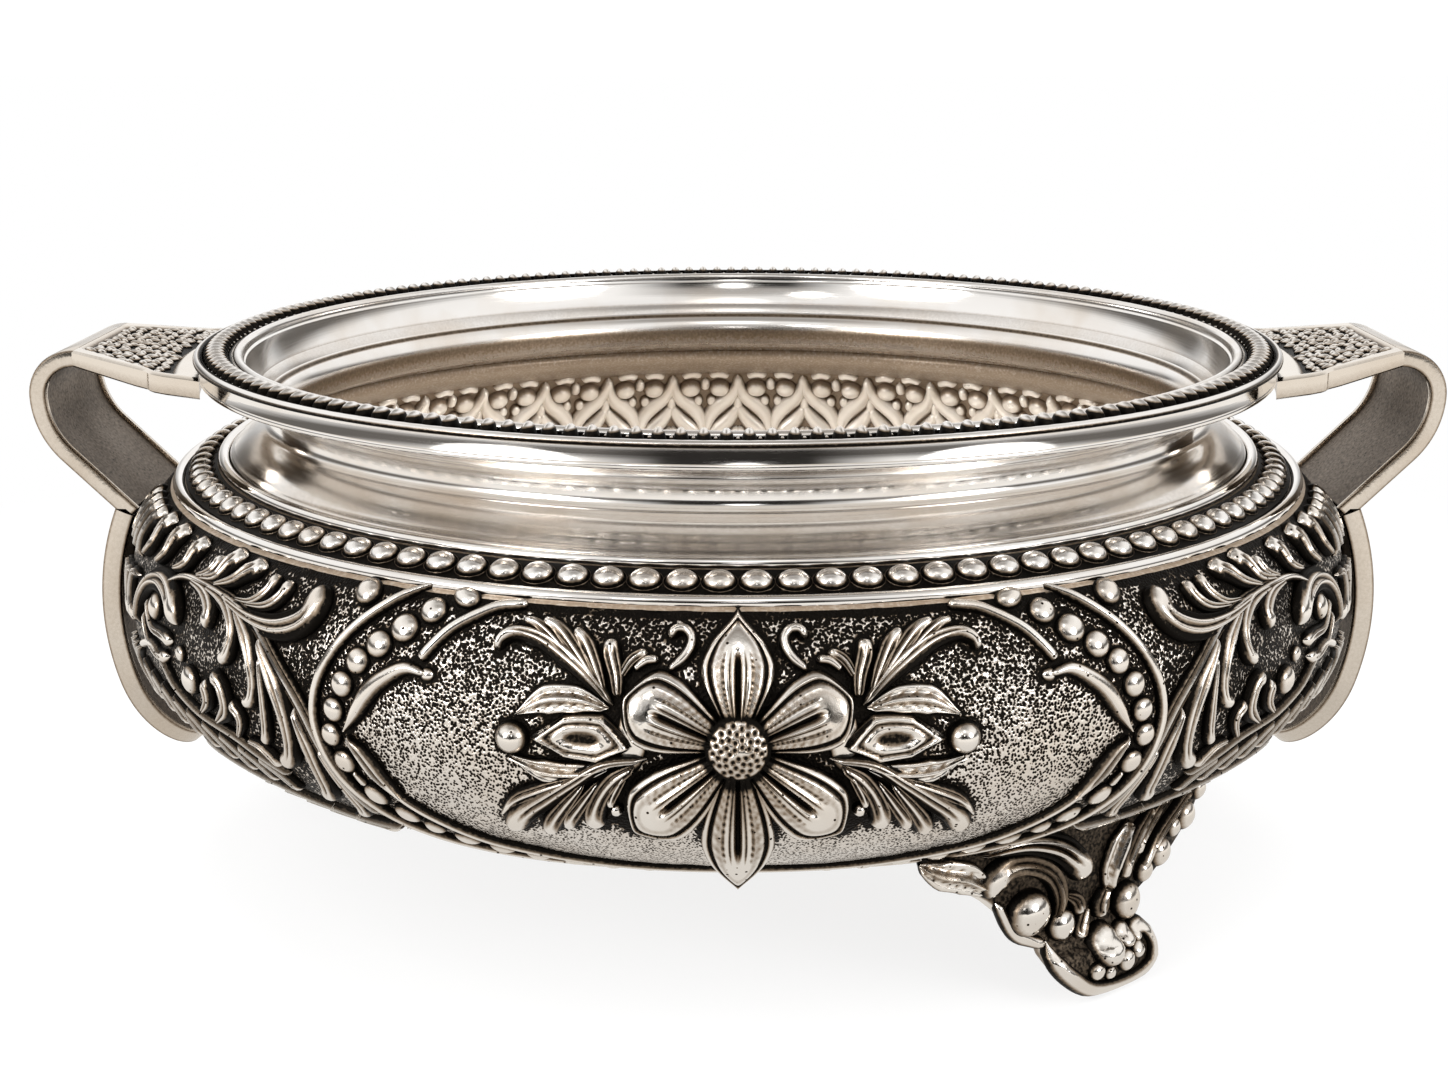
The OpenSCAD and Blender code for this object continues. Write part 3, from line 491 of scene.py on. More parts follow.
# The cartouche: outer line, inner scrolls, and a row of pearls between them
wire([(-57, 28), (-60.2, 26.2), (-64.5, 23.4), (-68.8, 19.8), (-72.3, 16.2), (-75.9, 11.2), (-78.4, 5.9),
      (-79.3, 0.9), (-78.8, -2.7), (-77, -7.7), (-74.5, -12), (-70.2, -17.7), (-65.2, -23.4), (-58, -29.5),
      (-48, -36), (-36, -41.6), (-20, -47.5), (0, -50.5)], [1.05], 1.5, 90, ends=(False, False))
wire([(-38.6, 25), (-43.8, 24.1), (-48, 21.9), (-51.6, 19.4), (-54.5, 16.2), (-56.8, 13)], [1.1], 1.4, 26)
wire([(-55.2, 10.9), (-59.1, 11.4), (-63, 9.4), (-66.3, 6.6), (-68.8, 3), (-71.5, -1.4)],
     [0.6, 1.3, 1.6, 1.8, 1.5, 0.2], 1.8, 26, ends=(True, False))
wire([(-56.3, 10.8), (-53.7, 10.8)], [1.3], 0.975, 12)
wire([(-71.8, -2.7), (-69.1, -5.2), (-66.3, -8.8), (-63.8, -11.3), (-62, -13.1)],
     [0.2, 1.5, 1.9, 1.2, 0.3], 1.7, 22, grooved, ends=(False, False))
wire([(-63.5, -12.5), (-60.2, -15.6), (-55.2, -19.5), (-48, -24.9), (-40.9, -28.2), (-30, -33.4), (-17, -39),
      (0, -42)], [0.6, 1, 1, 1], 1.3, 60, ends=(True, False))
# x, s, half length, half width and tilt
pearls = [(-50.9, 25.1, 3, 2.1, -15), (-56.6, 21.9, 2.8, 2.6, 0), (-61.3, 18.1, 3, 2.8, 0),
          (-65.8, 14.6, 2.8, 2.6, 0), (-69.7, 11.1, 2.6, 2.5, 0), (-72.7, 6.6, 2.6, 2.5, 0),
          (-74.6, 1.7, 2.5, 2.4, 0), (-75.5, -3.1, 2.4, 2.35, 0), (-73.2, -7.9, 2.6, 2.4, 0),
          (-68.4, -14.5, 2.8, 2.2, -38), (-63.4, -18.8, 2.9, 2.1, -38), (-59.1, -22.2, 2.4, 1.8, -38)]
pearls += [(x, s, 2.9, 1.9, tilt) for x, s, tilt in (
    (-53.9, -26, -35), (-48, -29.6, -32), (-41.5, -32.8, -24), (-34.6, -35.6, -20), (-27.4, -39.2, -20),
    (-20, -42.4, -20), (-12.4, -44.8, -12), (-4.6, -46, -4))]
for x, s, rx, ry, tilt in pearls:
    quarter.oval(on_belly, x, s, rx, ry, tilt, 1.5)
comma([(-71.6, -9.6), (-70.6, -11.4), (-69.8, -12.6)], 1.0, 0.4, 1.0, form=dome, n=10, m=9)
quarter.oval(on_belly, -72.1, 23.5, 2.9, 2.8, 0, 1.7)

# Foliage between the cartouche and the handle
wire([(-70.6, -20.5), (-75.1, -11.5), (-78.6, -5), (-83.1, 1.8), (-89.6, 8), (-96.1, 12.8), (-103.1, 15.2),
      (-110.1, 16.2), (-118.1, 16.5), (-126.1, 15.8), (-133, 12.5)],
     [1.9, 1.9, 1.7, 1.6, 1.4, 1.3, 1.2, 1.1, 1, 0.8, 0.5], 1.7, 60, two_grooves)
comma([(-108, 15.6), (-98, 13.7), (-90, 13.6), (-84, 16), (-82.3, 19.6), (-84.4, 22)],
      3.1, 0.5, 2.4, 1.7, n=30)
comma([(-101.5, 15.6), (-95.2, 16.6), (-92.2, 19), (-91.1, 22.3)], 1.8, 0.4)
comma([(-105, 16), (-99.6, 16.6), (-96.3, 19.4), (-95.6, 22.8)], 1.7, 0.4)
comma([(-113, 16.8), (-107.6, 19), (-104.6, 21.8), (-100.6, 23.6)], 2.4, 0.4, 2)
comma([(-119, 17), (-113.6, 18.6), (-112, 22), (-108.6, 24.4)], 2.7, 0.4, 2)
comma([(-121, 17), (-117, 19), (-115.6, 22.6)], 1.9, 0.4)
comma([(-131, 16), (-127, 18.2), (-126.6, 21.6), (-123.8, 23.4)], 2.8, 0.4, 2.2)
comma([(-141, 15), (-138.2, 18), (-138.6, 21.6), (-135.4, 23.6)], 3.1, 0.5, 2.4)
comma([(-152, 14), (-149.4, 17.6), (-150, 21.6), (-146.4, 23.6)], 3, 0.5, 2.2)
comma([(-122, 15.9), (-115.4, 15), (-111.6, 12.4), (-112.8, 9)], 2.3, 0.5, 1.9)
comma([(-116, 16.2), (-107.4, 15), (-102.6, 11), (-102.9, 6.4), (-105.9, 4.4)], 1.6, 0.5, 2, 2.2)
comma([(-103.4, 14.9), (-97.6, 10), (-94.8, 4), (-95.6, -0.8), (-98.4, -1.4)], 1.5, 0.5, 2.1, 2.6)
comma([(-94.4, 11.4), (-88.6, 3.4), (-85.8, -4), (-86.6, -9.4), (-90, -12)], 2, 0.5, 2.3, 3.1)
comma([(-93.4, 8), (-92.4, 0), (-92.6, -6), (-94.2, -9)], 1.4, 0.4, 1.6)
comma([(-84.2, 0.4), (-80.8, -8), (-80.4, -15), (-82.8, -19.6)], 2.2, 0.5, 2, 2.4)
comma([(-78.8, -6), (-75.2, -13.6), (-74.6, -19.6), (-76.6, -23.4)], 1.9, 0.5, 1.8)
comma([(-148.6, 1), (-146.8, 6.4), (-142.2, 11), (-136, 13), (-130, 12.2), (-125.8, 9.6), (-124.4, 6.6)],
      3.1, 0.9, 2.5, 1.8, n=40)
quarter.oval(on_belly, -136.2, 7.6, 3, 2.8, 0, 2)
comma([(-142, 8), (-138, 3.4), (-131.6, 3.2), (-126.6, 3)], 1.6)
comma([(-144, 5), (-141, 0), (-134, -1.6), (-129, -0.6)], 1.5)
wire([(-91, -15.5), (-99, -12.2), (-104, -10.4), (-110, -9.6), (-116, -9), (-122, -7.4), (-127, -5.6),
      (-132.4, -2), (-139, -0.4), (-148, -3)], [1.3, 1.2, 1.1, 1], 1.5, 44, two_grooves)
quarter.oval(on_belly, -118.2, -2.4, 3.2, 3, 0, 2.1)
quarter.oval(on_belly, -122.6, 1.6, 1.8, 1.7, 0, 1.275)
comma([(-114.6, -7.8), (-111.4, -4.6), (-112.4, -0.8)], 2.2, 0.5, 1.8)
comma([(-109, -8.4), (-104.6, -4.4), (-106, 0), (-109, 0.8)], 1.9, 0.5, 2, 2.2)
comma([(-102.4, -9.8), (-100.2, -5.6), (-103.2, -2.8)], 1.7, 0.5, 1.7)
comma([(-99.4, -9.4), (-95.4, -10.2), (-91.6, -13.6)], 1.7, 0.5, 1.7)


def leaf_row(count, x, s, step_x, step_s, path, end_r, start, high, n=18):
    """The same small leaf again and again from a first place by steps."""
    for k in range(count):
        comma([(x + step_x * k + a, s + step_s * k + b) for a, b in path], end_r, start, high, n=n, m=11)


leaf_row(9, -96, -14.6, -6.2, 0.9, [(-3, 1.4), (1.6, -1.6), (4, -6.4)], 1.8, 0.5, 1.7, 16)
wire([(-70, -27), (-80, -28.5), (-90, -26.5), (-101, -24), (-113, -22.6), (-126, -22), (-138, -24),
      (-147, -28.5), (-150, -35), (-146, -41)], [1.6, 1.4, 1.3, 1.4, 1.5], 1.6, 60, two_grooves)
leaf_row(9, -78, 0, -7.6, 0, [(-2, -25.6), (-5.6, -29.6), (-3.4, -34.4), (0.6, -35)], 2.1, 0.5, 1.9)
comma([(-160, -24), (-156, -33), (-146, -36.6), (-136, -33.4), (-137, -29.4)], 2.9, 0.9, 2.3, 1.7, n=34)
leaf_row(4, -150, 0, -7, -1, [(0, -4), (-6, -8), (-5, -14), (0, -15)], 2.4, 0.6, 1.9)
leaf_row(4, -150, 0, -7, -1, [(-2, 10), (-8, 9), (-9, 3), (-4, 1)], 2.4, 0.6, 1.9)
leaf_row(4, -150, 0, -7, 0, [(-6, 13), (-11, 16), (-10, 21), (-6, 23)], 2.5, 0.6, 2)
leaf_row(12, -84, 0, -8.5, 0, [(0, -43), (-4, -50), (1, -56), (5, -54)], 2.4, 0.8, 1.8)

quarter.copies(ALL_ROUND).build("belly_chasing", chased, "oxidised_silver")


# The belly: its outer sheet carries the oxide that lies round the chasing
def smoothed_noise(shape, seed, passes):
    """Seeded noise over a grid that closes round its first axis, softened."""
    field = np.random.default_rng(seed).normal(size=shape)
    for _ in range(passes):
        field = (field + np.roll(field, 1, 0) + np.roll(field, -1, 0)) / 3
        field[:, 1:-1] = (field[:, :-2] + field[:, 1:-1] + field[:, 2:]) / 3
    return field / field.std()


COLUMNS, FINE_FROM_S, ROW_STEP = 1280, -62, 0.7
QUARTER_COLUMNS = COLUMNS // 4
fine_s = np.arange(FINE_FROM_S, TOP_S, ROW_STEP)
coarse_s = np.linspace(BOTTOM_S + 0.5, FINE_FROM_S, 40, endpoint=False)
rows_s = np.concatenate([coarse_s, fine_s, [TOP_S]])
quarter_x = -(np.arange(QUARTER_COLUMNS) + 0.5) * (math.pi / 2 * BELLY_R) / QUARTER_COLUMNS
halo = np.zeros((QUARTER_COLUMNS, len(rows_s)))


def darken(feet, spread=1.5):
    """Oxide round the feet of raised forms, fading over the spread."""
    for p, half in feet:
        for (x, s), w in zip(p, half):
            if w < 0.05:
                continue
            i = np.abs(quarter_x - x) < w + spread
            j = np.abs(rows_s - s) < w + spread
            away = np.hypot(quarter_x[i][:, None] - x, rows_s[j][None] - s) - w
            halo[np.ix_(i, j)] = np.maximum(halo[np.ix_(i, j)], 1 - ramp(away, 0.35, spread))


# Sprays and flowers are applied pieces; each left hand form is drawn once, on the front
spray = Parts()


def blade(path, half, high=1.9, form=two_grooves, n=22, m=15, ends=(False, True)):
    spray.relief(on_belly, path, half, high, form, n, m, 0.8, ends)


blade([(-20.9, 8.7), (-23, 11.2), (-26.6, 14.4), (-30.9, 17.3), (-35.2, 19.2), (-39.4, 19.6), (-41.6, 18.2),
       (-41.9, 16.4)], [0.6, 1.3, 1.9, 2.2, 2, 1.7, 1.3, 0.8], 2.5, three_grooves, 34)
blade([(-22.3, 10.9), (-24.3, 15.1), (-26.4, 18.7), (-28.6, 20.9)], [0.6, 1.4, 1.7, 1.0], 2.3)
blade([(-23, 11.6), (-28, 17.3), (-31.6, 20.8), (-34.6, 22)], [0.6, 1.5, 1.7, 0.9], 2.3)
blade([(-26.6, 14.4), (-32.3, 19.2), (-35.9, 21.4), (-38.2, 21.6)], [0.5, 1.3, 1.3, 0.8], 2.2)
blade([(-20, 10.1), (-20.5, 13.7), (-21.7, 17.3), (-21.8, 19.8)], [0.9, 1.4, 1.7, 1.6], 2.2)
blade([(-19.7, 13.4), (-18, 16.2), (-15.4, 17.8)], [0.7, 1.1, 1], 1.8)
blade([(-17.5, 14.6), (-15.6, 16.2), (-13.4, 16.5)], [0.6, 0.9, 0.9], 1.7, dome)
blade([(-11.8, 14.6), (-9.1, 17), (-7.9, 19.6), (-8.9, 21.6), (-10.8, 21.7), (-11.8, 20.2)],
      [0.5, 0.9, 1.0, 1.0, 0.9, 0.9], 1.9, dome, 26)
NO_ROUND_END = (False, False)
blade([(-21.6, 8.2), (-26.6, 9.3), (-32.3, 8.9), (-37.3, 6.4)],
      [0.6, 2.4, 2.6, 0.25], 2.4, leafy, 30, 21, NO_ROUND_END)
blade([(-17.3, 1.9), (-23.8, 3), (-29.5, 3), (-34.7, 2.6)],
      [0.4, 4.4, 3.8, 0.25], 3, pod, 34, 25, NO_ROUND_END)
blade([(-20.9, -1.4), (-26.6, -3.2), (-33, -3.3), (-38.3, -1.2)],
      [0.5, 1.8, 2.1, 0.25], 2.3, leafy, 28, 19, NO_ROUND_END)
blade([(-15.2, 0), (-22.3, -1.3), (-28, -4.9), (-33, -8.4), (-37.2, -11.6), (-39.3, -14.6), (-39, -16.6)],
      [0.6, 1, 1.4, 1.8, 2.3, 2.5, 2.4], 2.7, three_grooves, 36)
blade([(-27, -4), (-33.2, -6.6), (-38.4, -9.2), (-41.2, -12.2)], [0.5, 1.2, 1.4, 0.4], 2.1)
blade([(-25.9, -5), (-30, -10), (-32.4, -13.6), (-33.2, -16.4)], [0.6, 1.4, 1.9, 1.8], 2.4)
blade([(-23.4, -4.5), (-26.6, -9), (-28.8, -12.2), (-29.6, -14.6)], [0.5, 1.2, 1.5, 1.4], 2.2)
blade([(-17.3, -1.4), (-20.9, -4.1), (-23.4, -7.7), (-24.6, -11.4), (-23.6, -13.9)],
      [0.9, 1.7, 1.7, 2, 2.2], 2.4, n=30)
blade([(-19, -3.2), (-20.9, -6.6), (-21.7, -9.1)], [0.9, 1.2, 0.8], 1.9)
spray.oval(on_belly, -20.7, -10, 1.3, 1.25, 0, 1.6)
spray.oval(on_belly, -38.4, 2.1, 2.95, 2.9, 0, 3.2, 20, 13)
spray.oval(on_belly, -17.6, 3.6, 2.6, 6.4, 0, 0.8)
for place, signs in zip(("front_left", "front_right", "back_left", "back_right"), ALL_ROUND):
    spray.copies([signs]).build(f"{place}_spray_chased", chased, "oxidised_silver", [f"{place}_spray"])

# Petals by angle, with their reach as a share; the upper and lower ones end in a point
PETAL_REACH, PETAL_HALF, PETAL_HIGH, PETAL_START, PETAL_SINK = 24.4, 6.1, 3.0, 3, 2.6
PETALS = {90: 0.84, 159: 0.87, 222: 1.0, 270: 1.25, 318: 1.0, 21: 0.87}
flower = Parts()
for angle, share in PETALS.items():
    c, s = math.cos(math.radians(angle)), math.sin(math.radians(angle))
    reach = share * PETAL_REACH
    widest, power, close = (0.55, 1.55, 0.95) if angle in (90, 270) else (0.66, 2.3, 0.6)
    run = np.linspace(0, 1, 60)
    root = 0.42 + 0.64 * np.sin(math.pi / 2 * (run / widest).clip(0, 1)) ** 1.5
    half = PETAL_HALF * root * (1 - ramp(run, widest, 1) ** power).clip(0.03) ** close
    flower.relief(lambda x, y, lift: on_flower(x, y, lift - PETAL_SINK),
                  [(c * PETAL_START, s * PETAL_START), (c * reach, s * reach)],
                  half, PETAL_HIGH, petal_form, 60, 71, 1.4)
for place, signs in BOTH_FACES:
    flower.copies([signs]).build(f"{place}_flower_petals", chased, "oxidised_silver", [f"{place}_flower"])

BOSS_R, BOSS_HIGH, BOSS_SINK, BOSS_ROOT = 5.5, 3.0, 1.4, 4
BOSS_PITS, PIT_R, PIT_DEPTH, GOLDEN_ANGLE = 51, 0.36, 0.5, 2.39996


def boss():
    """A dome with a turned edge, pitted all over in a sunflower's order."""
    turn = np.linspace(0, 2 * math.pi, 96, endpoint=False)[:, None]
    out = np.concatenate([np.sin(np.linspace(0, math.pi / 2, 30)), [1.0]])[None]
    lift = BOSS_HIGH * np.sqrt((1 - (out * 0.94) ** 2).clip(0)) - BOSS_SINK
    lift[:, -1] = -BOSS_ROOT
    x, y = BOSS_R * out * np.cos(turn), BOSS_R * out * np.sin(turn)
    lift, dark = lift + 0 * turn, 0.2 + ramp(out, 0.84, 0.92) + 0 * turn
    for k in range(1, BOSS_PITS + 1):
        pit_r, pit_a = BOSS_R * 0.88 * math.sqrt(k / (BOSS_PITS + 1)), k * GOLDEN_ANGLE
        pit = bell(np.hypot(x - pit_r * math.cos(pit_a), y - pit_r * math.sin(pit_a)), 0, PIT_R)
        lift = lift - PIT_DEPTH * pit
        dark = dark + 1.3 * pit
    return Parts().add(on_flower(x, y, lift), dark, loop_u=True)


for place, signs in BOTH_FACES:
    boss().copies([signs]).build(f"{place}_flower_boss_pitted", chased, "oxidised_silver",
                                 [f"{place}_flower_boss"])

darken(quarter.feet)
darken(spray.feet, 1.7)
darken([(p + [0, FLOWER_Z - BELLY_Z], half) for p, half in flower.feet], 1.7)
# The punched ground is darker near the shoulder and outside the cartouche, and black in the
# corner under the shoulder wire, a painted shade
shade = 0.03 + 0.64 * ramp(rows_s, -16, 20)[None] + 0 * quarter_x[:, None]
shade = np.maximum(shade, 0.72 * ramp(-quarter_x, 76, 81)[:, None] * ramp(rows_s, -44, -30)[None])
shade = np.maximum(shade, ramp(rows_s, TOP_S - 2.2, TOP_S - 1.4)[None])
left = np.maximum(shade, halo)
oxide_and_painted_shade = np.concatenate([left[::-1], left, left[::-1], left])
oxide_and_painted_shade = oxide_and_painted_shade + 0.03 * smoothed_noise(oxide_and_painted_shade.shape, 3, 5)
swell = 0.05 * smoothed_noise(oxide_and_painted_shade.shape, 4, 3)
swell[:, :len(coarse_s)] *= 0.2
azimuth = (np.arange(COLUMNS) + 0.5) * 2 * math.pi / COLUMNS - math.pi / 2
Parts().add(on_belly(azimuth[:, None] * BELLY_R, rows_s[None], swell), oxide_and_painted_shade, loop_u=True).build(
    "belly_outside", ground, "oxidised_silver", ["bowl_body"])

# The inside: the sheet's inner face, the shoulder's shelf under the neck, and the soft relief
SHELF_R, SHELF_T = SKIRT_R - 3.0, 2.2
inner_s = np.linspace(BOTTOM_S + 0.5, TOP_S - 1, 120)
turn = np.linspace(0, 2 * math.pi, 360, endpoint=False)[:, None]
inner_rows = inside_belly(turn * BELLY_R, inner_s[None], 0 * turn)
lid = [(SHOULDER_R - BODY_WALL, cone_z(SHOULDER_R) - SHELF_T), (SHELF_R, cone_z(SHELF_R) - SHELF_T),
       (SHELF_R, cone_z(SHELF_R)), (SHOULDER_R, cone_z(SHOULDER_R))]
lid_rows = np.stack([round_axis(turn[:, 0], r, z) for r, z in lid], 1)
inner_dark = np.concatenate([0.6 * ramp(inner_s, -24, -12), np.full(len(lid), 0.5)])
inside = Parts().add(np.concatenate([inner_rows, lid_rows], 1), inner_dark[None] + 0 * turn, loop_u=True)
REPEATS = 42
pitch = 2 * math.pi * BELLY_R / REPEATS


def soft(x, side, path, half, high=2.0, n=12):
    """A blurred form of one repeat: across as a share of the pitch, mirrored by side."""
    path = [(x + side * a * pitch, b) for a, b in path]
    inside.relief(inside_belly, path, half, high, soft_dome, n, 7, ends=(True, True))


for k in range(REPEATS):
    x = (k + 0.5) * pitch
    for side in (-1, 1):
        soft(x, side, [(0.5, 23), (0.47, 18), (0.36, 13.4), (0.2, 10.6), (0.07, 6.6), (0.03, 2)],
             [1.1, 1.7, 2.5, 2.9, 2.2, 1.0], 2.6, 18)
        soft(x, side, [(0.06, 23.4), (0.2, 24.6), (0.36, 23.2)], [1.3, 1.6, 1.0], 1.9)
        soft(x, side, [(0.09, -1), (0.16, 2.4), (0.3, 4.6), (0.42, 7.6), (0.49, 11)],
             [1.1, 2.2, 2.6, 2.1, 1.0], 2.3, 16)
        soft(x, side, [(0.48, 3.6), (0.4, -1), (0.26, -4), (0.1, -5.4)], [1.0, 2.0, 2.0, 1.0], 2.0)
        for across, s, rx, ry, high in ((0.22, 17.6, 3.4, 3.3, 3.0), (0.1, 12.6, 1.6, 2.2, 1.8),
                                        (0.28, -0.4, 1.8, 1.7, 1.7)):
            inside.oval(inside_belly, x + side * across * pitch, s, rx, ry, 0, high)
    soft(x, 1, [(0, 21.6), (0, 17)], [1.3, 1.7], 2.0)
    soft(x, 1, [(0.5, 15), (0.5, 7)], [1.3, 1.8], 1.9)
    soft(x, 1, [(-0.42, -9), (0, -12), (0.42, -9)], [1, 1.6, 1], 1.6)
inside.build("belly_inside", inner, "oxidised_silver")

# Neck: skirt, cove, bright fillet, inside flare and throat
NECK_R, THROAT_R = 102.4, 100.4
CREASE_R, CREASE_TURN = 3.0, 62
THROAT_EDGE_R, THROAT_TURN = 5.5, 50
SKIRT_EDGE_Z = cone_z(SKIRT_R) + 1.5
CREASE_Z = SKIRT_EDGE_Z + 5
MOUTH_R = SKIRT_R - 4
RIM_IN_R = LIP_R - 8
FILLET_R = 1.1
fillet = (RIM_IN_R - 0.1 - FILLET_R, LIP_Z - FILLET_R)
crease = arc((NECK_R + CREASE_R, CREASE_Z + 2.6), CREASE_R, 180 + CREASE_TURN, 180, 14)
throat_edge = arc((THROAT_R + THROAT_EDGE_R, CREASE_Z + 0.9), THROAT_EDGE_R, 180 - THROAT_TURN, 180, 14)
neck_profile = (
    [(SKIRT_R - 0.15, cone_z(SKIRT_R) + 0.1), (SKIRT_R, cone_z(SKIRT_R) + 0.35),
     (SKIRT_R, SKIRT_EDGE_Z - 0.4), (SKIRT_R - 0.35, SKIRT_EDGE_Z)]
    + bow((SKIRT_R - 0.6, SKIRT_EDGE_Z + 0.1), crease[0], -0.45, 12)[:-1] + crease[:-1]
    + bow(crease[-1], (RIM_IN_R - 0.1, RIM_BOTTOM_Z), 2.1, 24)
    + [(RIM_IN_R - 0.1, RIM_BOTTOM_Z + 0.3)] + arc(fillet, FILLET_R, 0, 180, 13)
    + [(fillet[0] - FILLET_R, LIP_Z - 1.8), (fillet[0] - FILLET_R - 0.2, LIP_Z - 2.1)]
    + bow((fillet[0] - FILLET_R - 0.5, LIP_Z - 2.3), throat_edge[0], 0.7, 48)[:-1] + throat_edge
    + [(THROAT_R, CREASE_Z - 2)] + [(MOUTH_R, cone_z(MOUTH_R) + 0.1)])
# Darkening in the neck by height above the crease, inside and outside: outside a slight even darkening,
# inside painted reflection, dark bands in the flare, and painted shade on the throat below them
FLARE_SHADE = ((-2, 0.35), (0, 0.55), (1.4, 0.6), (2.4, 0.3), (3.2, 0), (4.9, 0), (5.3, 0.75), (5.7, 0.75),
               (6.1, 0), (6.6, 0.05), (7.4, 0.38), (8.2, 0.35), (9.2, 0), (16, 0))
COVE_SHADE = ((-6, 0.2), (-1, 0.16), (0, 0.1), (3, 0.1), (6.5, 0.2), (10.6, 0.16))
neck_shade = []
for k, (r, z) in enumerate(neck_profile):
    stops = FLARE_SHADE if k > len(neck_profile) / 2 else COVE_SHADE
    neck_shade.append(float(np.interp(z - CREASE_Z, *zip(*stops))))
revolve(neck_profile, neck_shade).build("neck_spun", spun, "polished_silver", ["neck_collar"], 40)

# Rim: inner ledge, dark bead channel, lip line, polished band and the wire under it
CHANNEL_OUT_R, CHANNEL_IN_R, CHANNEL_Z = LIP_R - 1.9, RIM_IN_R + 0.5, LIP_Z - 1.6
BAND_R = LIP_R - 1.1
rim_profile = (
    [(RIM_IN_R, RIM_BOTTOM_Z), (RIM_IN_R, LIP_Z - 0.8), (RIM_IN_R + 0.1, LIP_Z - 0.7),
     (CHANNEL_IN_R - 0.1, LIP_Z - 0.7), (CHANNEL_IN_R, LIP_Z - 0.8), (CHANNEL_IN_R, CHANNEL_Z),
     (CHANNEL_OUT_R, CHANNEL_Z), (CHANNEL_OUT_R, LIP_Z - 0.15)]
    + arc((LIP_R - 0.95, LIP_Z - 0.9), 0.9, 150, -20, 12)
    + bow((BAND_R - 0.6, LIP_Z - 1.5), (BAND_R - 0.05, RIM_BOTTOM_Z + 1.35), -0.08, 12)
    + arc((BAND_R - 0.7, RIM_BOTTOM_Z + 0.7), 0.7, 55, -90, 9))
# Darkening by point of the profile: oxide in the bead channel, and painted shade on the ledge and at both
# feet of the lip line
rim_shade = [0, 0, 1, 1, 1, 1, 1, 1] + [1, 1, 1, 0.7, 0, 0, 0, 0, 0.2, 0.85, 1, 1] + [0.85]
rim_shade += [0] * (len(rim_profile) - len(rim_shade))
revolve(rim_profile, rim_shade).build("rim_turned", polished, "polished_silver", ["rim_ring"], 50)


def ring_of_beads(count, r, z, slope, long_half, wide_half, high, n=9, m=6, lemon=0.0, collar=False,
                  rim_dark=0.8):
    """Oval beads round the axis, lying on a slope that rises towards the axis. lemon draws
    in their ends, and collar sets each in a thin raised ring."""
    out = Parts()
    turn = np.linspace(0, 2 * math.pi, 2 * n, endpoint=False)[:, None]
    share = np.concatenate([np.sin(np.linspace(0, math.pi / 2, m)), [1.0]])
    lift = high * np.sqrt((1 - share ** 2).clip(0))
    lift[-1] = -0.3
    dark = ramp(share, rim_dark, rim_dark + 0.14)
    if collar:
        share = np.concatenate([share, [1.05, 1.09, 1.12, 1.15, 1.19]])
        lift = np.concatenate([lift, [-0.15, 0.12, 0.18, 0.1, -0.3]])
        dark = np.concatenate([dark, [1, 0.9, 0.62, 0.9, 1]])
    along = long_half * share * np.cos(turn)
    side = wide_half * share * np.sin(turn) * (1 - lemon * np.cos(turn) ** 2)
    c, s = math.cos(math.atan(slope)), math.sin(math.atan(slope))
    for k in range(count):
        a = 2 * math.pi * (k + 0.5) / count
        points = round_axis(a + side / r, r + along * c + lift * s, z - along * s + lift * c)
        out.add(points, dark + 0 * turn, loop_u=True)
    return out


def black_strip(r_in, z_in, r_out, z_out, thick):
    """The oxidised ground that carries a row of beads, as vertices, faces and oxide."""
    ring = [(r_in, z_in), (r_out, z_out), (r_out, z_out + thick), (r_in, z_in + thick)]
    return revolve(ring, 1.0, 360).whole()


RIM_BEADS, SHOULDER_BEADS = 184, 116
CHANNEL_MID, DART_FROM_WALL, GAP = (CHANNEL_IN_R + CHANNEL_OUT_R) / 2, 0.75, 0.1
beads = ring_of_beads(RIM_BEADS, CHANNEL_MID, CHANNEL_Z + 0.5, 0, 2.7, 1.35, 2.5, lemon=0.35, rim_dark=0.66)
for r in (CHANNEL_IN_R + DART_FROM_WALL, CHANNEL_OUT_R - DART_FROM_WALL):
    darts = ring_of_beads(RIM_BEADS, r, CHANNEL_Z + 0.3, 0, 0.7, 0.42, 0.8, 5, 4, rim_dark=0.6)
    beads.take(*darts.turned(180 / RIM_BEADS).whole())
beads.take(*black_strip(CHANNEL_IN_R + GAP, CHANNEL_Z + GAP, CHANNEL_OUT_R - GAP, CHANNEL_Z + GAP, 0.3))
beads.build("rim_beads", bright, "oxidised_silver", ["rim_bead_wire"], 60)

# Shoulder: plain moulding, outer wire, and the dark strip with large beads between them
for node, r, above, wire_r in (("shoulder_moulding", SKIRT_R + 1.4, 0.75, 1.25),
                               ("shoulder_wire", SHOULDER_R - 1.84, 0.33, 1.3)):
    section = arc((r, cone_z(r) + above), wire_r, -22, 338, 25)[:-1]
    revolve(section).build(f"{node}_turned", polished, "satin_silver", [node])
STRIP_IN, STRIP_OUT, BEAD_R = SKIRT_R + 2.8, SHOULDER_R - 3.2, (SKIRT_R + 2.8 + SHOULDER_R - 3.24) / 2
big = ring_of_beads(SHOULDER_BEADS, BEAD_R, cone_z(BEAD_R) + 0.65, SHOULDER_SLOPE, 2.6, 2.85, 2.0, 12, 8,
                    collar=True, rim_dark=0.84)
big.take(*black_strip(STRIP_IN, cone_z(STRIP_IN) + GAP, STRIP_OUT, cone_z(STRIP_OUT) + GAP, 0.5))
big.build("shoulder_beads", bright, "oxidised_silver", ["shoulder_bead_strip"], 60)

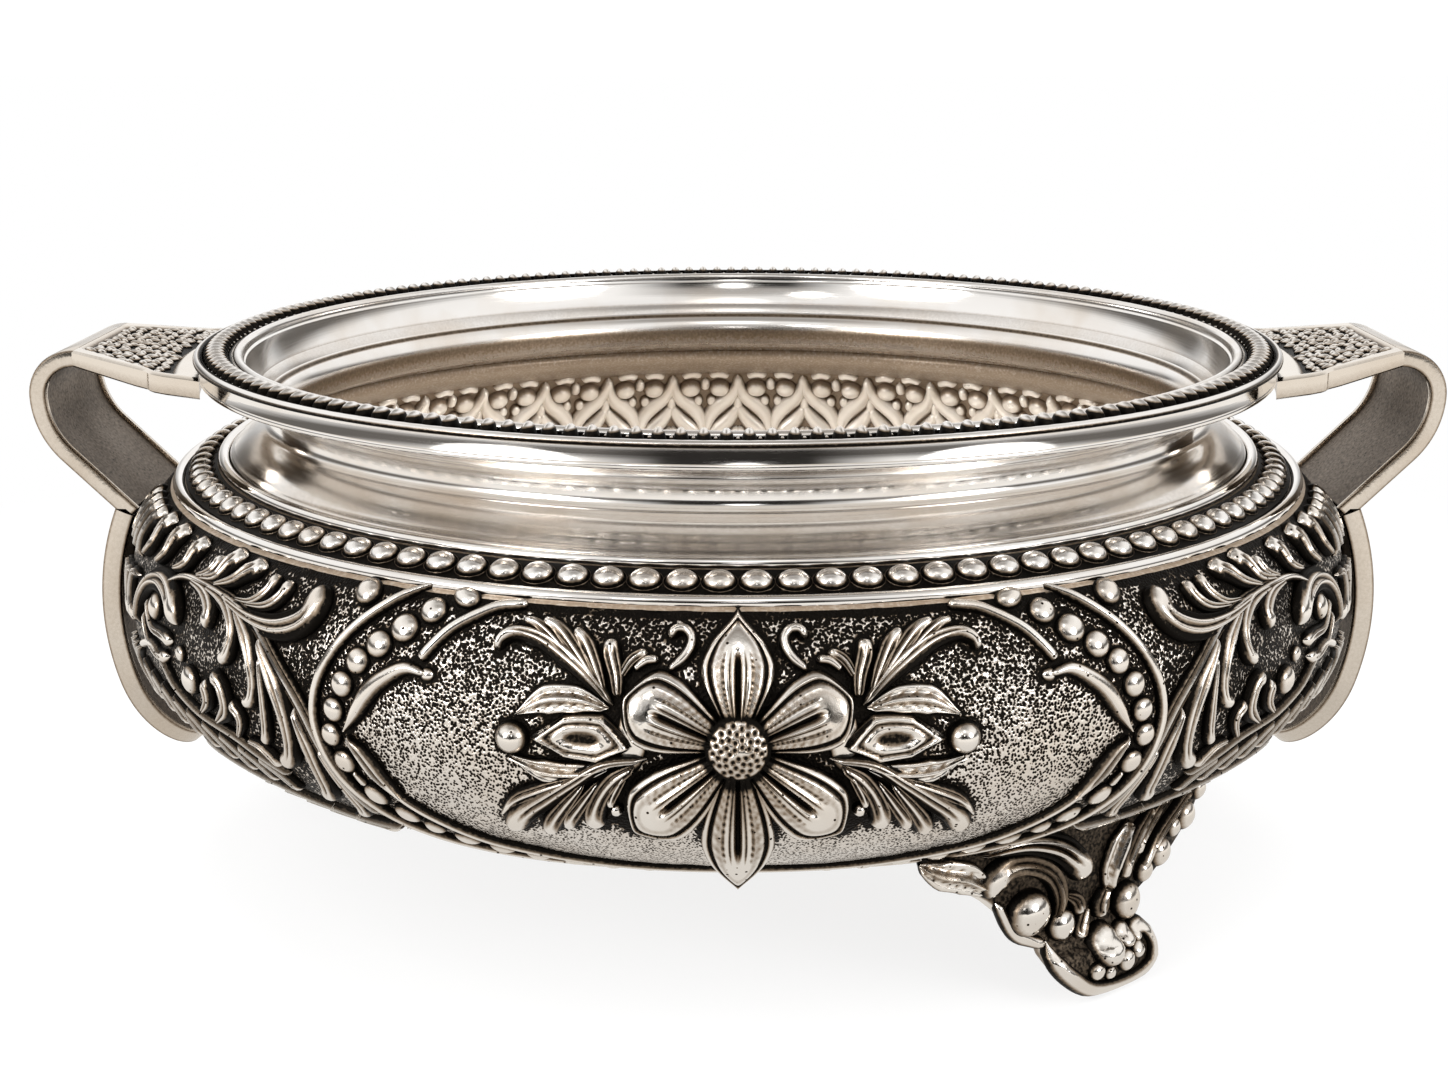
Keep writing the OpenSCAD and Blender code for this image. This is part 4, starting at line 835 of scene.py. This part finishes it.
# Handles, drawn at the right and mirrored to the left
REACH, STRAP_HALF, STRAP_TOP_Z = strap_high
STRAP_T, BEND_R, SIDE_R, LEAN = 3.6, 10.0, 20.0, 45
BEND_X, BEND_Z = REACH - BEND_R, STRAP_TOP_Z - BEND_R
TONGUE_R, TONGUE_T = 59.0, 4.3
TONGUE_X, TONGUE_Z = tongue_high[0] - TONGUE_R, BELLY_Z - 7.3
TONGUE_HALF = tongue_high[1]


def strap_ring(half, thick, border, recess):
    """Cross section of a strap as (y, depth) with softened corners and a sunk inner face."""
    edge = min(0.7, thick / 4)
    right = [(half * 0.5, 0), (half - edge, 0), (half - edge * 0.3, edge * 0.3), (half - 0.12, edge),
             (half, thick / 2), (half - 0.12, thick - edge), (half - edge * 0.3, thick - edge * 0.3),
             (half - edge, thick), (half - border, thick), (half - border - 0.5, thick - recess),
             (half * 0.45, thick - recess)]
    return np.array(right + [(-y, d) for y, d in right[::-1]])


def lay_strap(line, normal, half, thick, border=1.8, recess=0.7, foot=None):
    """Rings of a strap along a line of (x, z), with depth running against the normal. foot is
    the direction of its last run when that ends on a level cut."""
    rings, dark = [], []
    for (x, z), (nx, nz), h in zip(line, normal, half):
        edge = min(border, h * 0.3)
        ring = strap_ring(h, thick, edge, recess)
        rings.append(np.stack([x - nx * ring[:, 1], ring[:, 0], z - nz * ring[:, 1]], 1))
        sunk = (ring[:, 1] > thick - recess - 0.01) & (np.abs(ring[:, 0]) < h - edge - 0.2)
        place = np.arange(len(ring))
        corner = np.isin(np.minimum(place, place[::-1]), [2, 6])
        dark.append(np.where(sunk, 0.7, np.where(corner, 0.6, 0.2)))
    rings, dark = np.array(rings), np.array(dark)
    if foot is not None:
        slide = (line[-1][1] - rings[-1, :, 2]) / foot[1]
        rings[-1] += slide[:, None] * [foot[0], 0, foot[1]]
    # Both ends are closed by a ring drawn in to the middle of the thickness
    ends = []
    for ring, (nx, nz) in ((rings[0], normal[0]), (rings[-1], normal[-1])):
        depth = (ring - ring[0]) @ np.array([-nx, 0, -nz])
        ends.append(ring - np.outer(depth - thick / 2, [-nx, 0, -nz]))
    rings = np.concatenate([[ends[0]], rings, [ends[1]]])
    return Parts().add(rings, np.concatenate([dark[:1], dark, dark[-1:]]), loop_v=True)


# The line of the strap: a bend under the plate, a wide bend at the side, and a straight run
# that stands on the escutcheon's top edge
lean = math.radians(LEAN)
straight = np.array([REACH - SIDE_R + SIDE_R * math.cos(lean), BEND_Z - SIDE_R * math.sin(lean)])
way = np.array([-math.sin(lean), -math.cos(lean)])
run = (tongue_high[2] + 0.05 - straight[1]) / way[1]
line = np.array(
    [(BEND_X - 0.3, STRAP_TOP_Z)] + arc((BEND_X, BEND_Z), BEND_R, 90, 0, 25)
    + arc((REACH - SIDE_R, BEND_Z), SIDE_R, -2, -LEAN, 16)
    + [tuple(straight + way * run * k / 8) for k in range(1, 9)])
tangent = np.gradient(line, axis=0)
tangent /= np.hypot(*tangent.T)[:, None]
normal = np.stack([-tangent[:, 1], tangent[:, 0]], 1)
strap = lay_strap(line, normal, np.full(len(line), STRAP_HALF), STRAP_T, foot=way)

# The escutcheon: an arc on the belly's side, closer ringed at its ends, with a round lower end
top_a = math.asin((tongue_high[2] - TONGUE_Z) / TONGUE_R)
low_a = math.asin((tongue_low[2] - TONGUE_Z) / TONGUE_R)
tongue_a = top_a + (low_a - top_a) * (0.5 - 0.5 * np.cos(math.pi * np.linspace(0, 1, 90)))
tongue_line = np.stack([TONGUE_X + TONGUE_R * np.cos(tongue_a), TONGUE_Z + TONGUE_R * np.sin(tongue_a)], 1)
tongue_normal = np.stack([np.cos(tongue_a), np.sin(tongue_a)], 1)
above = tongue_line[:, 1] - tongue_low[2]
tongue_half = np.full(len(tongue_a), TONGUE_HALF)
rounded = above < TONGUE_HALF
tongue_half[rounded] = np.sqrt((TONGUE_HALF ** 2 - (TONGUE_HALF - above[rounded]) ** 2).clip(0.04))
tongue = lay_strap(tongue_line, tongue_normal, tongue_half, TONGUE_T, 1.4, 0.5)

# Top plate: a fan with a plain border round chased leaves, and a plain strip beside the rim
PLATE_HALF, PLATE_T, PLATE_DROP, CORNER_X = span("right_handle_top_plate")[1][1], 4.5, 3.6, 123.0
FALL = PLATE_DROP / (BEND_X - BAND_R)


def on_plate(x, y, lift):
    """x out from the axis, y across, on the plate's sloping upper face."""
    return np.stack(np.broadcast_arrays(x, y, STRAP_TOP_Z - (BEND_X - x) * FALL + lift), -1)


def plate_half(x):
    return np.interp(x, [BAND_R - 5, CORNER_X - 3, CORNER_X, CORNER_X + 1.5, BEND_X],
                     [PLATE_HALF, PLATE_HALF, PLATE_HALF - 0.8, PLATE_HALF - 3, STRAP_HALF])


def plate():
    """The fan's solid: each row across starts at the rim's round edge."""
    v, t = np.linspace(-1, 1, 61), np.linspace(0, 1, 41)
    starts = np.sqrt((BAND_R + 0.1) ** 2 - (PLATE_HALF * v) ** 2)
    x = np.stack([np.interp(t, [0, 0.45, 0.5, 1], [start, CORNER_X - 1.5, CORNER_X + 0.5, BEND_X - 0.1])
                  for start in starts], 1)
    y = plate_half(x) * v
    edge = (1 - np.abs(v))[None] * plate_half(x)
    border = np.interp(x, [CORNER_X, BEND_X], [2.4, 5.0])
    sunk = ramp(edge, border, border + 0.7) * ramp(np.hypot(x, y), BAND_R + 4.6, BAND_R + 5.4)
    sunk = sunk * (1 - ramp(x, BEND_X - 1.6, BEND_X - 0.8))
    round_edge = 0.5 * (1 - ramp(edge, 0, 0.7)) ** 2
    top = on_plate(x, y, -0.7 * sunk - round_edge)
    under = on_plate(x, y, round_edge - np.interp(x, [CORNER_X + 4, BEND_X], [PLATE_T, STRAP_T]))
    out = Parts()
    out.add(np.concatenate([top, under[:, ::-1]], 1), np.concatenate([0.95 * sunk, 0.3 + 0 * sunk], 1),
            loop_v=True)
    out.add(np.stack([top[0], under[0]]), 0.4)
    out.add(np.stack([under[-1], top[-1]]), 0.4)
    return out


# The leaves lie in staggered rows, each with its own slant and size
plate_leaves = Parts()
LEAF_PITCH, LEAF_ROWS = 2.55, 9
for k in range(LEAF_ROWS):
    x_row = BAND_R + 5.6 + k * LEAF_PITCH * 0.94
    wide = plate_half(x_row) - np.interp(x_row, [CORNER_X, BEND_X], [3.0, 5.8])
    count = int(2 * wide / LEAF_PITCH)
    for j in range(count + 1):
        x, y = x_row + rng.uniform(-0.6, 0.6), -wide + 2 * wide * (j + 0.5 * (k % 2)) / count
        if abs(y) > wide + 0.4 or math.hypot(x, y) < BAND_R + 6.2 or x > BEND_X - 2.4:
            continue
        tilt = rng.uniform(20, 70) * (1 if (j + k) % 2 else -1)
        rx, ry, high = rng.uniform(1.35, 1.85), rng.uniform(0.7, 0.95), rng.uniform(0.75, 1.05)
        plate_leaves.oval(lambda x, y, lift: on_plate(x, y, lift - 0.75), x, y, rx, ry, tilt, high, 7, 6)

for side, mirror in (("right", (1, 1)), ("left", (-1, 1))):
    for part, name, node in ((strap, "strap_dressed", "handle_strap"),
                             (tongue, "escutcheon_dressed", "escutcheon"),
                             (plate(), "top_plate_border", "handle_top_plate")):
        part.copies([mirror]).build(f"{side}_{name}", plain, "satin_silver", [f"{side}_{node}"], 35)
    plate_leaves.copies([mirror]).build(f"{side}_top_plate_leaves", chased, "oxidised_silver")
    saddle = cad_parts[f"{side}_escutcheon_saddle"]
    saddle.data.materials.clear()
    saddle.data.materials.append(dull)

# Feet, drawn at the front and turned to their places
WING_T, LEG_T, LEG_TOP, THIN_EDGE = 6.0, 7.0, 14, 2.4
TOE_REACH, TOE_H, TOE_HALF = 5.0, 10.0, 14.5
WING_LEAN = 0.35 * WING_T
FOOT_TOP = 41.0
# The foot's outline: how far it reaches to each side at a height
EDGE_Z = [0, 1.8, 5, 9, 12.5, 16.7, 19.2, 21.5, 24.5, 28.5, 32.4, 35.3, FOOT_TOP]
EDGE_RIGHT = [10.2, 13.4, 14.5, 13.5, 12.2, 14.4, 20.6, 25.2, 30.4, 36, 39.4, 40, 40]
EDGE_LEFT = [-3.6, -5.4, -8.6, -11.8, -13.3, -17.6, -21.6, -24, -27.4, -33.2, -38.6, -40, -40]
# The toe's roll as a share of its reach, by height as a share of its own
TOE_OUT = [(0, 0.45), (0.15, 0.8), (0.45, 1), (0.75, 0.98), (1, 0.75), (1.12, 0.35), (1.5, 0.05), (1.8, 0)]


def on_foot(t, z, lift):
    """t along the leg's round face, z up; the toe rolls out of the face near the table."""
    heights, outs = zip(*TOE_OUT)
    z = np.maximum(z, 0)
    middle = np.interp(z, EDGE_Z, np.add(EDGE_LEFT, EDGE_RIGHT) / 2)
    roll = TOE_REACH * np.interp(z / TOE_H, heights, outs)
    roll = roll * np.sqrt(1 - (np.abs(t - middle) / (TOE_HALF + 1)).clip(0, 1) ** 3)
    return round_axis(t / FOOT_R, FOOT_R + WING_LEAN * ramp(z, TOE_H, BELLY_Z) + roll + lift, z + 0 * t)


def foot():
    """The bracket as rings from the table up, each round its front and back."""
    z = np.concatenate([[0, 0], np.linspace(0, FOOT_TOP, 70)])[:, None]
    left, right = np.interp(z, EDGE_Z, EDGE_LEFT), np.interp(z, EDGE_Z, EDGE_RIGHT)
    share = 0.5 - 0.5 * np.cos(np.linspace(0, math.pi, 64))
    t = left + (right - left) * share
    low = np.where(t < 0, np.interp(-t, np.negative(EDGE_LEFT), EDGE_Z),
                   np.interp(t, np.sort(EDGE_RIGHT), EDGE_Z))
    inset = np.minimum(np.minimum(t - left, right - t), 1.6 * np.abs(z - low) + 0.6)
    thick = THIN_EDGE + (np.where(z < LEG_TOP, LEG_T, WING_T) - THIN_EDGE) * ramp(inset, 0, 5) ** 0.5
    front = on_foot(t, z, -1.1 * (1 - ramp(inset, 0, 2.2)) ** 2)
    back = round_axis(t / FOOT_R, FOOT_R + WING_LEAN * ramp(z, TOE_H, BELLY_Z) - thick, z + 0 * t)
    # The lowest two rings close the sole
    front[0], front[1] = (front[2] + back[2]) / 2, front[2] * 0.9 + back[2] * 0.1
    back[0], back[1] = front[0], front[2] * 0.1 + back[2] * 0.9
    dark = 0.84 * ramp(inset, 0.8, 2.0)
    ring = np.concatenate([front, back[:, ::-1]], 1)
    return Parts().add(ring, np.concatenate([dark, 0.6 + 0 * dark], 1), loop_v=True)


relief = Parts()


def cast(path, half, high, form=two_grooves, n=24, m=13):
    relief.relief(on_foot, path, np.array(half) * 1.22, high * 1.1, form, n, m, 1.0)


cast([(-40.5, 34.2), (-36.5, 31.9), (-31.5, 30.4), (-26.5, 27.2)], [0.8, 2.6, 2.7, 1.4], 2.4, leafy, 26, 19)
cast([(-11.5, 17.6), (-10.4, 22.4), (-12.6, 27.4), (-17.6, 30.6), (-22.6, 31), (-25.6, 28.4), (-24.8, 25.6)],
     [0.7, 1.5, 1.8, 1.9, 2, 2.5, 2.7], 2.6, two_grooves, 40)
cast([(-30, 34.8), (-20, 35.4), (-12, 33), (-6.4, 28.6), (-4, 24.6)],
     [0.6, 1.8, 2.3, 2.6, 2.4], 2.6, three_grooves, 32, 17)
cast([(-8.8, 22.4), (-5.8, 20.4), (-4.6, 17.2)], [0.6, 1.4, 1.5], 2.0)
cast([(-24.6, 24), (-20.6, 17.2), (-16.6, 14.6), (-13.4, 13.4)], [0.7, 1.1, 1.2, 1.0], 1.4, dome)
cast([(7.6, 33.6), (5.4, 29), (3.4, 24.6), (2.8, 20.4)], [0.8, 2.6, 2.4, 1.2], 2.4, leafy, 26, 19)
cast([(14.5, 34.6), (11.2, 30.4), (8.4, 25.6), (6.8, 21.4)], [0.6, 1.7, 1.7, 1.1], 2)
cast([(20, 35.6), (16, 32.4), (12.8, 29), (10.6, 25.4)], [0.5, 1.3, 1.3, 0.9], 1.7)
cast([(34, 36), (26, 31.8), (18.4, 27.4), (12.6, 21.4)], [0.8, 1.4, 1.4, 1.0], 1.8)
cast([(1.8, 21), (0.8, 17.6), (1.2, 15)], [1.0, 1.9, 1.7], 2.2)
cast([(-3.4, 18.6), (-4.4, 15), (-5.6, 12.6)], [0.8, 1.6, 1.4], 2.0)
cast([(-13, 13.8), (-11.9, 9.8), (-9, 6.2), (-4.6, 2.9), (1.5, 1.6), (8, 1.6), (12.4, 3.4), (13.4, 7.4),
      (11.6, 10.8), (8.9, 11), (8.6, 8.9)], [0.8, 1.5, 1.6, 1.5, 1.5, 1.5, 1.6, 1.5, 1.4, 1.3, 1.2],
     1.5, dome, 60)
# Pearls over the leg, then the smaller ones inside the toe's scroll
for x, z, r in [(-17.4, 20.6, 4.9), (-9.4, 16.4, 3.4), (8.2, 16.6, 3.9), (13.9, 21, 2.6), (18.9, 23.4, 3.2),
                (24, 27, 2.2), (28, 28.4, 3.2), (33.6, 32.4, 2.6), (38, 35, 2)]:
    relief.oval(on_foot, x, z, r, r, 0, 0.85 * r, 14, 9)
for x, z, r in [(0.2, 10.6, 4), (5.8, 10.9, 2.4), (4.2, 6.6, 2.3), (8, 7.6, 1.9), (-3.4, 6.4, 1.9),
                (0, 5.2, 1.5)]:
    relief.oval(on_foot, x, z, r, r, 0, 0.8 * r, 12, 8)

whole_foot = foot()
whole_foot.take(*relief.whole())
for name, angle in FOOT_ANGLES.items():
    whole_foot.copies([(1, 1)]).turned(angle).build(f"{name}_cast", chased, "oxidised_silver", [name], 50)

# Floor, backdrop, camera and lamps
floor_mesh = bpy.data.meshes.new("floor")
floor_mesh.from_pydata([(-6, -6, 0), (6, -6, 0), (6, 6, 0), (-6, 6, 0)], [], [(0, 1, 2, 3)])
floor = bpy.data.objects.new("floor", floor_mesh)
bpy.context.scene.collection.objects.link(floor)
pale = bpy.data.materials.new("pale_floor")
tree = Tree(pale)
shader = tree.nodes["Principled BSDF"]
shader.inputs["Roughness"].default_value = 0.9
shader.inputs["Specular IOR Level"].default_value = 0.1
grain = tree.add("TexNoise", {"Scale": 40.0}).outputs[0]
tree.put(tree.mix(grain, (0.93, 0.93, 0.93), (0.95, 0.95, 0.95)), shader.inputs["Base Color"])
# Reflections, and the camera more and more with distance, see the floor glow, so that it joins
# the white backdrop. The glow that reflections see is warm and dimmed near the bowl, a painted shadow of the
# bowl
rays = tree.add("LightPath").outputs
far = tree.add("VectorMath", {0: tree.add("TexCoord").outputs["Object"]}, operation="LENGTH").outputs["Value"]
glow = tree.add("Emission", {
    "Color": tree.mix(rays["Is Camera Ray"], (1.0, 0.965, 0.92), (1.0, 1.0, 1.0)),
    "Strength": tree.maths("MAXIMUM", rays["Is Camera Ray"], tree.fit(far, 0.14, 0.4, 0.75, 1.0))})
share = tree.maths("MULTIPLY", rays["Is Camera Ray"], tree.fit(far, 0.1, 0.42, 0.8, 1.0))
share = tree.maths("ADD", share, rays["Is Glossy Ray"])
blend = tree.add("MixShader", {0: share, 1: shader.outputs[0], 2: glow.outputs[0]})
tree.put(blend.outputs[0], tree.nodes["Material Output"].inputs["Surface"])
floor_mesh.materials.append(pale)

# The studio's brightness: over the arch from level in front (0 degrees) through straight up
# (90) to level behind (180), by height at the sides, and soft glows given by direction,
# width in degrees and strength
WORLD_ARCH = ((0.0, 0.7), (3, 0.02), (28, 0.02), (34, 0.36), (42, 0.4), (48, 0.74), (62, 0.8), (71, 0.34),
              (86, 0.3), (93, 0.5), (101, 0.3), (114, 0.26), (125, 0.4), (145, 0.8), (190, 0.9))
WORLD_SIDES = ((0.0, 0.8), (8, 0.12), (15, 0.12), (23, 0.8), (45, 0.85), (60, 0.7), (74, 0.5), (100, 0.5))
SIDE_FROM, SIDE_TO, BELOW_LEVEL, WORLD_STRENGTH = 0.24, 0.5, 4.0, 1.25
GLOWS = (((-0.7, -0.62, 0.34), 14, 6.0), ((0.74, -0.58, 0.32), 13, 5.0), ((0.02, -0.91, 0.41), 4, 2.5),
         ((0.03, -0.6, 0.8), 8, 0.8), ((-0.3, -0.75, 0.62), 3.5, 7.0))
world = bpy.data.worlds.new("studio")
bpy.context.scene.world = world
tree = Tree(world)
rays = tree.add("LightPath").outputs
looking = tree.add("TexCoord").outputs["Generated"]
toward = tree.add("SeparateXYZ", {0: looking}).outputs


def tones(radians, stops):
    """A grey ramp over an angle, through (degrees, brightness) stops that start below level."""
    degrees = tree.maths("ADD", tree.maths("MULTIPLY", radians, 180 / math.pi), BELOW_LEVEL)
    node = tree.add("ValToRGB", {"Fac": tree.fit(degrees, 0.0, stops[-1][0])})
    elements = node.color_ramp.elements
    for place, grey in stops:
        at_end = place in (stops[0][0], stops[-1][0])
        stop = elements[-1 if place else 0] if at_end else elements.new(place / stops[-1][0])
        stop.color = (grey, grey * (0.93 + 0.07 * grey), grey * (0.86 + 0.14 * grey), 1)
    return node.outputs[0]


arch = tones(tree.maths("ARCTAN2", toward[2], tree.maths("MULTIPLY", toward[1], -1.0)), WORLD_ARCH)
sides = tones(tree.maths("ARCSINE", toward[2]), WORLD_SIDES)
sideways = tree.fit(tree.maths("ABSOLUTE", toward[0]), SIDE_FROM, SIDE_TO)
channels = list(tree.add("SeparateColor", {"Color": tree.mix(sideways, arch, sides)}).outputs)
for direction, width, strength in GLOWS:
    along = tuple(np.array(direction) / np.linalg.norm(direction))
    near = tree.add("VectorMath", {0: looking, 1: along}, operation="DOT_PRODUCT").outputs["Value"]
    edge = math.cos(math.radians(width))
    glow = tree.fit(near, edge - 0.35 * (1 - edge), edge + 0.6 * (1 - edge), 0.0, strength,
                    interpolation_type="SMOOTHSTEP")
    channels = [tree.maths("ADD", channel, glow) for channel in channels]
lit = tree.add("CombineColor", dict(enumerate(channels))).outputs[0]
seen = tree.maths("MAXIMUM", rays["Is Camera Ray"], rays["Is Transmission Ray"])
back = tree.nodes["Background"]
tree.put(tree.mix(seen, lit, (1.0, 1.0, 1.0)), back.inputs["Color"])
back.inputs["Strength"].default_value = WORLD_STRENGTH


LAMP_TARGET = (0, 0, 0.07)


def softbox(name, at, size, power):
    """A lamp for the floor and the soft shadow; the silver mirrors the studio's glows instead."""
    lamp = bpy.data.lights.new(name, "AREA")
    lamp.shape, lamp.size, lamp.size_y, lamp.energy = "RECTANGLE", size[0], size[1], power
    holder = bpy.data.objects.new(name, lamp)
    holder.location = at
    way = np.array(LAMP_TARGET) - np.array(at)
    holder.rotation_euler = (math.atan2(math.hypot(way[0], way[1]), -way[2]), 0, math.atan2(-way[0], way[1]))
    holder.visible_glossy = False
    bpy.context.scene.collection.objects.link(holder)


# Places and sizes in metres, power in watts
softbox("key", (-1.3, -1.2, 1.6), (1.6, 1.4), 30)
softbox("fill", (1.5, -1.0, 1.5), (1.6, 1.4), 26)
softbox("top", (0, 0.5, 1.8), (2.4, 1.6), 40)

# The camera fitted to the photo: width, focal length and the bowl's axis in its pixels
PHOTO_WIDTH, PHOTO_FOCAL, AXIS_PIXEL = 1448, 2028.2, 738
CAMERA_AT, CAMERA_PITCH, SENSOR = (0, -0.45003, 0.1838), 14.636, 36
eye = bpy.data.cameras.new("eye")
eye.sensor_width = SENSOR
eye.lens = SENSOR * PHOTO_FOCAL / PHOTO_WIDTH
eye.shift_x = (PHOTO_WIDTH / 2 - AXIS_PIXEL) / PHOTO_WIDTH
eye.clip_start = 0.01
camera = bpy.data.objects.new("eye", eye)
camera.location = CAMERA_AT
camera.rotation_euler = (math.radians(90 - CAMERA_PITCH), 0, 0)
bpy.context.scene.collection.objects.link(camera)
bpy.context.scene.camera = camera
bpy.context.scene.view_settings.view_transform = "Standard"
